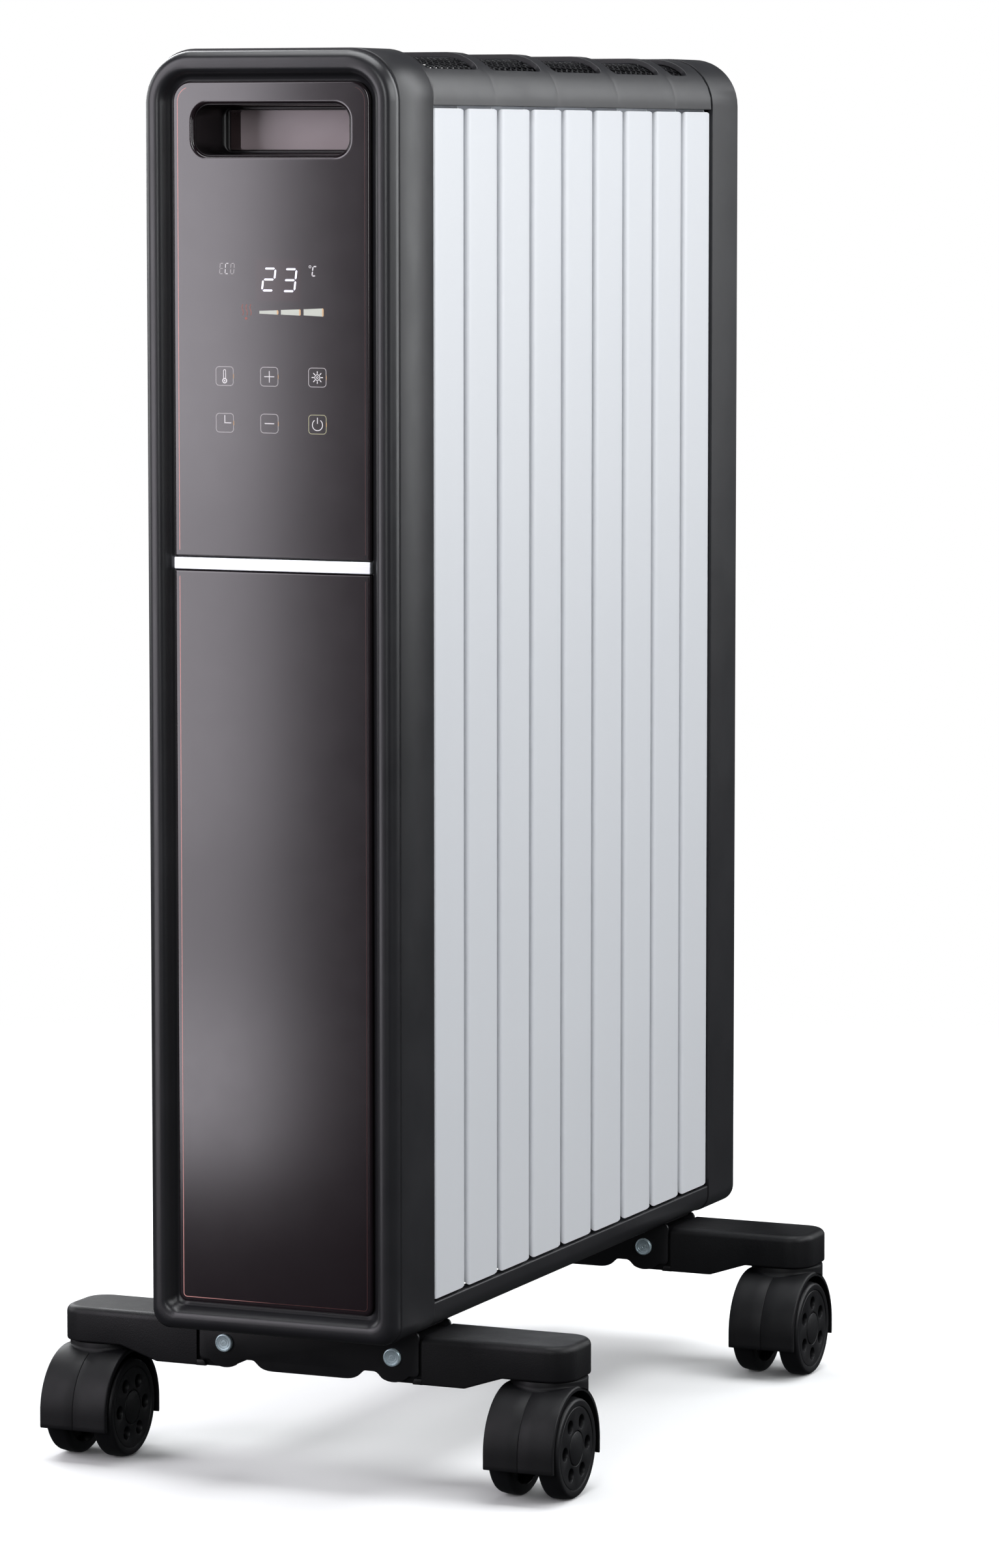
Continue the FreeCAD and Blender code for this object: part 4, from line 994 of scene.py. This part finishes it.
def hood_shell():
    """The curved cover over both wheels, with a fine parting line round its middle."""
    edge = 0.9
    stations = [(-HOOD_HALF + edge * (1 - math.cos(math.radians(90 - 18 * k))),
                 edge * (1 - math.sin(math.radians(90 - 18 * k)))) for k in range(5, -1, -1)]
    stations += [(-12.0, 0), (-6.0, 0), (-0.35, 0), (-0.2, 0.08), (0, 0.3), (0.2, 0.08), (0.35, 0),
                 (6.0, 0), (12.0, 0)]
    stations += [(-x, o) for x, o in reversed(stations[:6])]
    rings = []
    for x, drop in stations:
        outer = arch_profile(HOOD_R - drop, HOOD_LOW + 0.5 + (1.6 * drop if abs(x) > 1 else 0))
        inner = arch_profile(HOOD_R - HOOD_WALL, HOOD_LOW + 0.3)
        lip = [(outer[-1][0] - 0.15, HOOD_LOW + 0.12), (outer[-1][0] - 0.5, HOOD_LOW),
               (inner[-1][0] + 0.3, HOOD_LOW)]
        first = [(inner[0][0] - 0.3, HOOD_LOW), (outer[0][0] + 0.5, HOOD_LOW),
                 (outer[0][0] + 0.15, HOOD_LOW + 0.12)]
        rings.append([(x, y, z) for y, z in outer + lip + inner[::-1] + first])
    verts, faces = loft(rings)
    size = len(rings[0])
    count = len(arch_profile(1, 0))
    for base, flip in ((0, False), ((len(rings) - 1) * size, True)):
        inner_start = count + 3
        for k in range(count - 1):
            a, b = k, k + 1
            c, d = inner_start + count - 1 - b, inner_start + count - 1 - a
            quad = (base + a, base + b, base + c, base + d)
            faces.append(tuple(reversed(quad)) if flip else quad)
        for ends in ((count - 1, count, count + 1, count + 2, count + 3),
                     (0, size - 1, size - 2, size - 3, size - 4)):
            poly = tuple(base + i for i in ends)
            faces.append(poly if flip else tuple(reversed(poly)))
    return verts, faces


def hood_web():
    """The solid web between the wheels."""
    loop = arch_profile(HOOD_R - HOOD_WALL + 0.3, HOOD_LOW + 0.05)
    return loft([[(x, y, z) for y, z in loop] for x in (-HOOD_WEB, HOOD_WEB)], capped=True)


def hood_neck():
    """The round neck under the arm; it meets the hood in a small fillet."""
    flare, n = 1.4, 72

    def surface(y, radius):
        reach = min(abs(y + TRAIL), radius - 0.35)
        return WHEEL_R + math.sqrt(radius * radius - reach * reach)

    def on_hood(r, radius, lift):
        points = []
        for c, s in circle(0, 0, 1, n):
            reach = min(r, NECK_R) + max(r - NECK_R, 0) * s ** 4
            points.append((reach * c, reach * s, min(surface(reach * s, radius) + lift, NECK_TOP - 0.7)))
        return points

    rings = [on_hood(r, HOOD_R - 0.8, 0) for r in (0.4, 4.0, 8.0, 12.0, 15.5, NECK_R + flare)]
    for a in [0.0] + quarter(5):
        rings.append(on_hood(NECK_R + flare * (1 - math.sin(a)), HOOD_R - 0.05, flare * (1 - math.cos(a))))
    for inset, drop in ((0.0, 0.6), (0.18, 0.18), (0.6, 0.0), (4.0, 0.0)):
        rings.append([(x, y, NECK_TOP - drop) for x, y in circle(0, 0, NECK_R - inset, n)])
    return loft(rings, capped=True)


def wheel_mesh(first_hole):
    """A right-hand wheel: rounded tyre, step line, six holes through the disc, and a hub cap."""
    face, hollow = 16.5, 12.6
    outer_r, hub_r, hole_at, hole_r = 17.6, 8.1, 12.4, 3.1
    tyre = [(hollow, outer_r), (6.9, outer_r), (6.6, 17.9), (6.6, 20.2)]
    tyre += [(8.6 - 2.0 * math.cos(math.radians(a)), 20.4 + 2.1 * math.sin(math.radians(a)))
             for a in (15, 30, 45, 60, 75, 90)]
    tyre += [(11.0, 22.5), (13.2, 22.42), (14.4, 22.2)]
    tyre += [(15.2 + 1.7 * math.sin(math.radians(a)), 20.7 + 1.35 * math.cos(math.radians(a)))
             for a in (10, 28, 46, 64, 80, 90)]
    tyre += [(16.8, 19.2), (16.7, 18.75), (16.3, 18.55), (16.3, 18.2), (face, 18.0), (face, outer_r)]
    hub = [(face, hub_r), (face - 0.15, 7.95), (face - 0.6, 7.85), (face - 0.6, 7.6), (face + 0.05, 7.4),
           (face + 0.2, 7.15), (face + 0.2, 0.3)]
    back = [(hollow, hub_r), (hollow, 6.6), (6.6, 6.6), (6.6, 3.4), (12.0, 3.4), (12.0, 0.3)]
    parts = []
    for profile, count in ((tyre, 60), (hub, 36), (back, 36)):
        rows = [[(x, y, z) for y, z in circle(0, 0, r, count, first_hole)] for x, r in profile]
        parts.append(loft(rows, ended=profile is not tyre))
    for n in range(6):
        middle = first_hole + 60 * n
        border = [(outer_r, middle - 30 + 6 * k) for k in range(10)]
        border += [(outer_r + (hub_r - outer_r) * k / 4, middle + 30) for k in range(4)]
        border += [(hub_r, middle + 30 - 10 * k) for k in range(6)]
        border += [(hub_r + (outer_r - hub_r) * k / 4, middle - 30) for k in range(4)]
        rim = [(r * math.cos(math.radians(a)), r * math.sin(math.radians(a))) for r, a in border]
        cy, cz = hole_at * math.cos(math.radians(middle)), hole_at * math.sin(math.radians(middle))
        turns = [math.atan2(z - cz, y - cy) for y, z in rim]

        def hole(r, x):
            return [(x, cy + r * math.cos(t), cz + r * math.sin(t)) for t in turns]

        parts.append(loft([[(face, y, z) for y, z in rim], hole(hole_r + 0.35, face),
                           hole(hole_r + 0.1, face - 0.1), hole(hole_r, face - 0.35), hole(hole_r, hollow),
                           [(hollow, y, z) for y, z in rim]]))
    verts, faces = joined(parts)
    return [(x, y - TRAIL, z + WHEEL_R) for x, y, z in verts], faces


def casters():
    hood = joined([hood_shell(), hood_web(), hood_neck()])
    wheels = {"front": wheel_mesh(2), "rear": wheel_mesh(30)}
    for corner in CORNERS:
        shift = stem_place(corner)
        name = "hood_" + corner
        moulded(name, hood, "caster", 40, ("caster_" + name,), "caster_" + corner, shift)
        verts, faces = wheels[corner.split("_")[0]]
        for side, sign in SIGN.items():
            wheel = "wheel_%s_%s" % (corner, side)
            shape = ([(sign * x, y, z) for x, y, z in verts], faces)
            moulded("tyre_" + wheel, shape, "wheel", 32, (wheel,), wheel, shift)


# ---- moulded parts whose CAD shape is right: the same shape with eased edges ----
def eased(node, width, key="case"):
    me = nodes[node].data.copy()
    me.name = node + "_eased"
    me.materials.clear()
    me.materials.append(MAT[key])
    bm = bmesh.new()
    bm.from_mesh(me)
    bmesh.ops.remove_doubles(bm, verts=bm.verts, dist=1e-6)
    bmesh.ops.dissolve_limit(bm, angle_limit=math.radians(0.5), verts=bm.verts, edges=bm.edges)
    for face in bm.faces:
        face.smooth = True
    for edge in bm.edges:
        edge.smooth = len(edge.link_faces) != 2 or edge.calc_face_angle(0) < math.radians(35)
    bm.to_mesh(me)
    bm.free()
    bevelled(piece(node + "_eased", me, (node,), body_of(nodes[node])[0]), width, 2)


bezel()
panels()
grip_pocket()
strip()
housing()
display()
keys()
edge_line()
fins()
top_cover()
vent_guards()
brackets()
arms()
rivets()
casters()
eased("rear_cover", 0.4)
eased("side_rail_right", 0.35)
eased("side_rail_left", 0.35)
eased("cord_gland", 0.4)
eased("cover_screws", 0.12, "zinc")
eased("foot_u_bolts", 0.3, "zinc")
eased("wing_nuts", 0.4, "zinc")


# ---- camera, floor and light ----
def camera():
    cam = bpy.data.cameras.new("camera")
    cam.sensor_fit = "VERTICAL"
    cam.sensor_height = 36.0
    cam.lens = CAMERA_LENS
    cam.clip_end = 50
    ob = bpy.data.objects.new("camera", cam)
    bpy.context.scene.collection.objects.link(ob)
    ob.location = CAMERA_PLACE
    ob.rotation_euler = (math.radians(90 - CAMERA_DIP), 0, math.radians(CAMERA_TURN))
    bpy.context.scene.camera = ob


def floor():
    """White paper: it shows the soft shadow round the feet, and fades to the white of the backdrop."""
    me = bpy.data.meshes.new("floor")
    r = 12.0
    me.from_pydata([(-r, -r, 0), (r, -r, 0), (r, r, 0), (-r, r, 0)], [], [(0, 1, 2, 3)])
    ob = bpy.data.objects.new("floor", me)
    bpy.context.scene.collection.objects.link(ob)
    ob.visible_diffuse = False
    ob.visible_glossy = False
    mat, tree, shader = material("floor_paper")
    vary(shader, "Base Color", noise(tree, 3.0), 0.9, 0.92)
    shader.inputs["Roughness"].default_value = 0.9
    shader.inputs["Specular IOR Level"].default_value = 0.1
    coords = tree.nodes.new("ShaderNodeTexCoord")
    reach = tree.nodes.new("ShaderNodeVectorMath")
    reach.operation = "LENGTH"
    tree.links.new(coords.outputs["Object"], reach.inputs[0])
    far = tree.nodes.new("ShaderNodeMapRange")
    far.interpolation_type = "SMOOTHSTEP"
    far.inputs["From Min"].default_value = 0.5
    far.inputs["From Max"].default_value = 1.3
    tree.links.new(reach.outputs["Value"], far.inputs["Value"])
    white = tree.nodes.new("ShaderNodeEmission")
    mix = tree.nodes.new("ShaderNodeMixShader")
    tree.links.new(far.outputs["Result"], mix.inputs["Fac"])
    tree.links.new(shader.outputs["BSDF"], mix.inputs[1])
    tree.links.new(white.outputs["Emission"], mix.inputs[2])
    tree.links.new(mix.outputs["Shader"], tree.nodes["Material Output"].inputs["Surface"])
    me.materials.append(mat)


def softbox(name, place, look_at, size, radiance, tint=(0.97, 0.985, 1)):
    """A square-on studio light; radiance is what a mirror would show of it."""
    data = bpy.data.lights.new(name, "AREA")
    data.shape = "RECTANGLE"
    data.size, data.size_y = size
    data.energy = radiance * size[0] * size[1] * 4
    data.color = tint
    ob = bpy.data.objects.new(name, data)
    bpy.context.scene.collection.objects.link(ob)
    ob.location = place
    ob.rotation_euler = (Vector(look_at) - Vector(place)).to_track_quat("-Z", "Y").to_euler()
    ob.visible_camera = False


def softbox_round(name, azimuth, elevation, size, radiance, reach=2.2):
    """A softbox on a sphere about the heater; azimuth is from +X towards +Y."""
    a, e = math.radians(azimuth), math.radians(elevation)
    aim = Vector((0, 0, 0.4))
    place = aim + reach * Vector((math.cos(e) * math.cos(a), math.cos(e) * math.sin(a), math.sin(e)))
    softbox(name, place, aim, size, radiance)


def world():
    """A white backdrop, in a room that gives off only a little light."""
    w = bpy.data.worlds.new("studio")
    w.use_nodes = True
    tree = w.node_tree
    room = tree.nodes["Background"]
    room.inputs["Color"].default_value = (0.9, 0.95, 1, 1)
    room.inputs["Strength"].default_value = 0.035
    backdrop = tree.nodes.new("ShaderNodeBackground")
    backdrop.inputs["Color"].default_value = (1, 1, 1, 1)
    path = tree.nodes.new("ShaderNodeLightPath")
    mix = tree.nodes.new("ShaderNodeMixShader")
    tree.links.new(path.outputs["Is Camera Ray"], mix.inputs["Fac"])
    tree.links.new(room.outputs["Background"], mix.inputs[1])
    tree.links.new(backdrop.outputs["Background"], mix.inputs[2])
    tree.links.new(mix.outputs["Shader"], tree.nodes["World Output"].inputs["Surface"])
    bpy.context.scene.world = w
    bpy.context.scene.view_settings.view_transform = "Standard"


camera()
floor()
world()
softbox_round("right", 5, 25, (1.4, 0.8), 3.5, reach=1.5)
softbox_round("right_back", 58, 24, (0.9, 1.0), 2.8)
softbox_round("right_back_low", 50, 5, (0.9, 0.55), 2.8)
softbox_round("right_front", -25, 14, (0.5, 1.0), 2.2)
softbox_round("front", -78, 14, (0.5, 1.0), 5.0)
softbox_round("left", 185, 12, (1.2, 1.2), 2.4)
softbox_round("left_back", 140, 25, (1.2, 1.5), 4.5)
softbox("top", (0, 0, 2.4), (0, 0, 0.4), (1.8, 1.8), 4.0)
MAUVE = (1.0, 0.955, 1.03)
for label, middle, tall, level in (("high", 0.815, 0.83, 3.4), ("mid", 0.30, 0.20, 2.7),
                                   ("low", 0.15, 0.10, 2.0), ("floor", 0.055, 0.09, 3.2)):
    softbox("front_left_" + label, (-0.588, -0.9, middle), (-0.588, 0, middle), (0.5, tall), level, MAUVE)
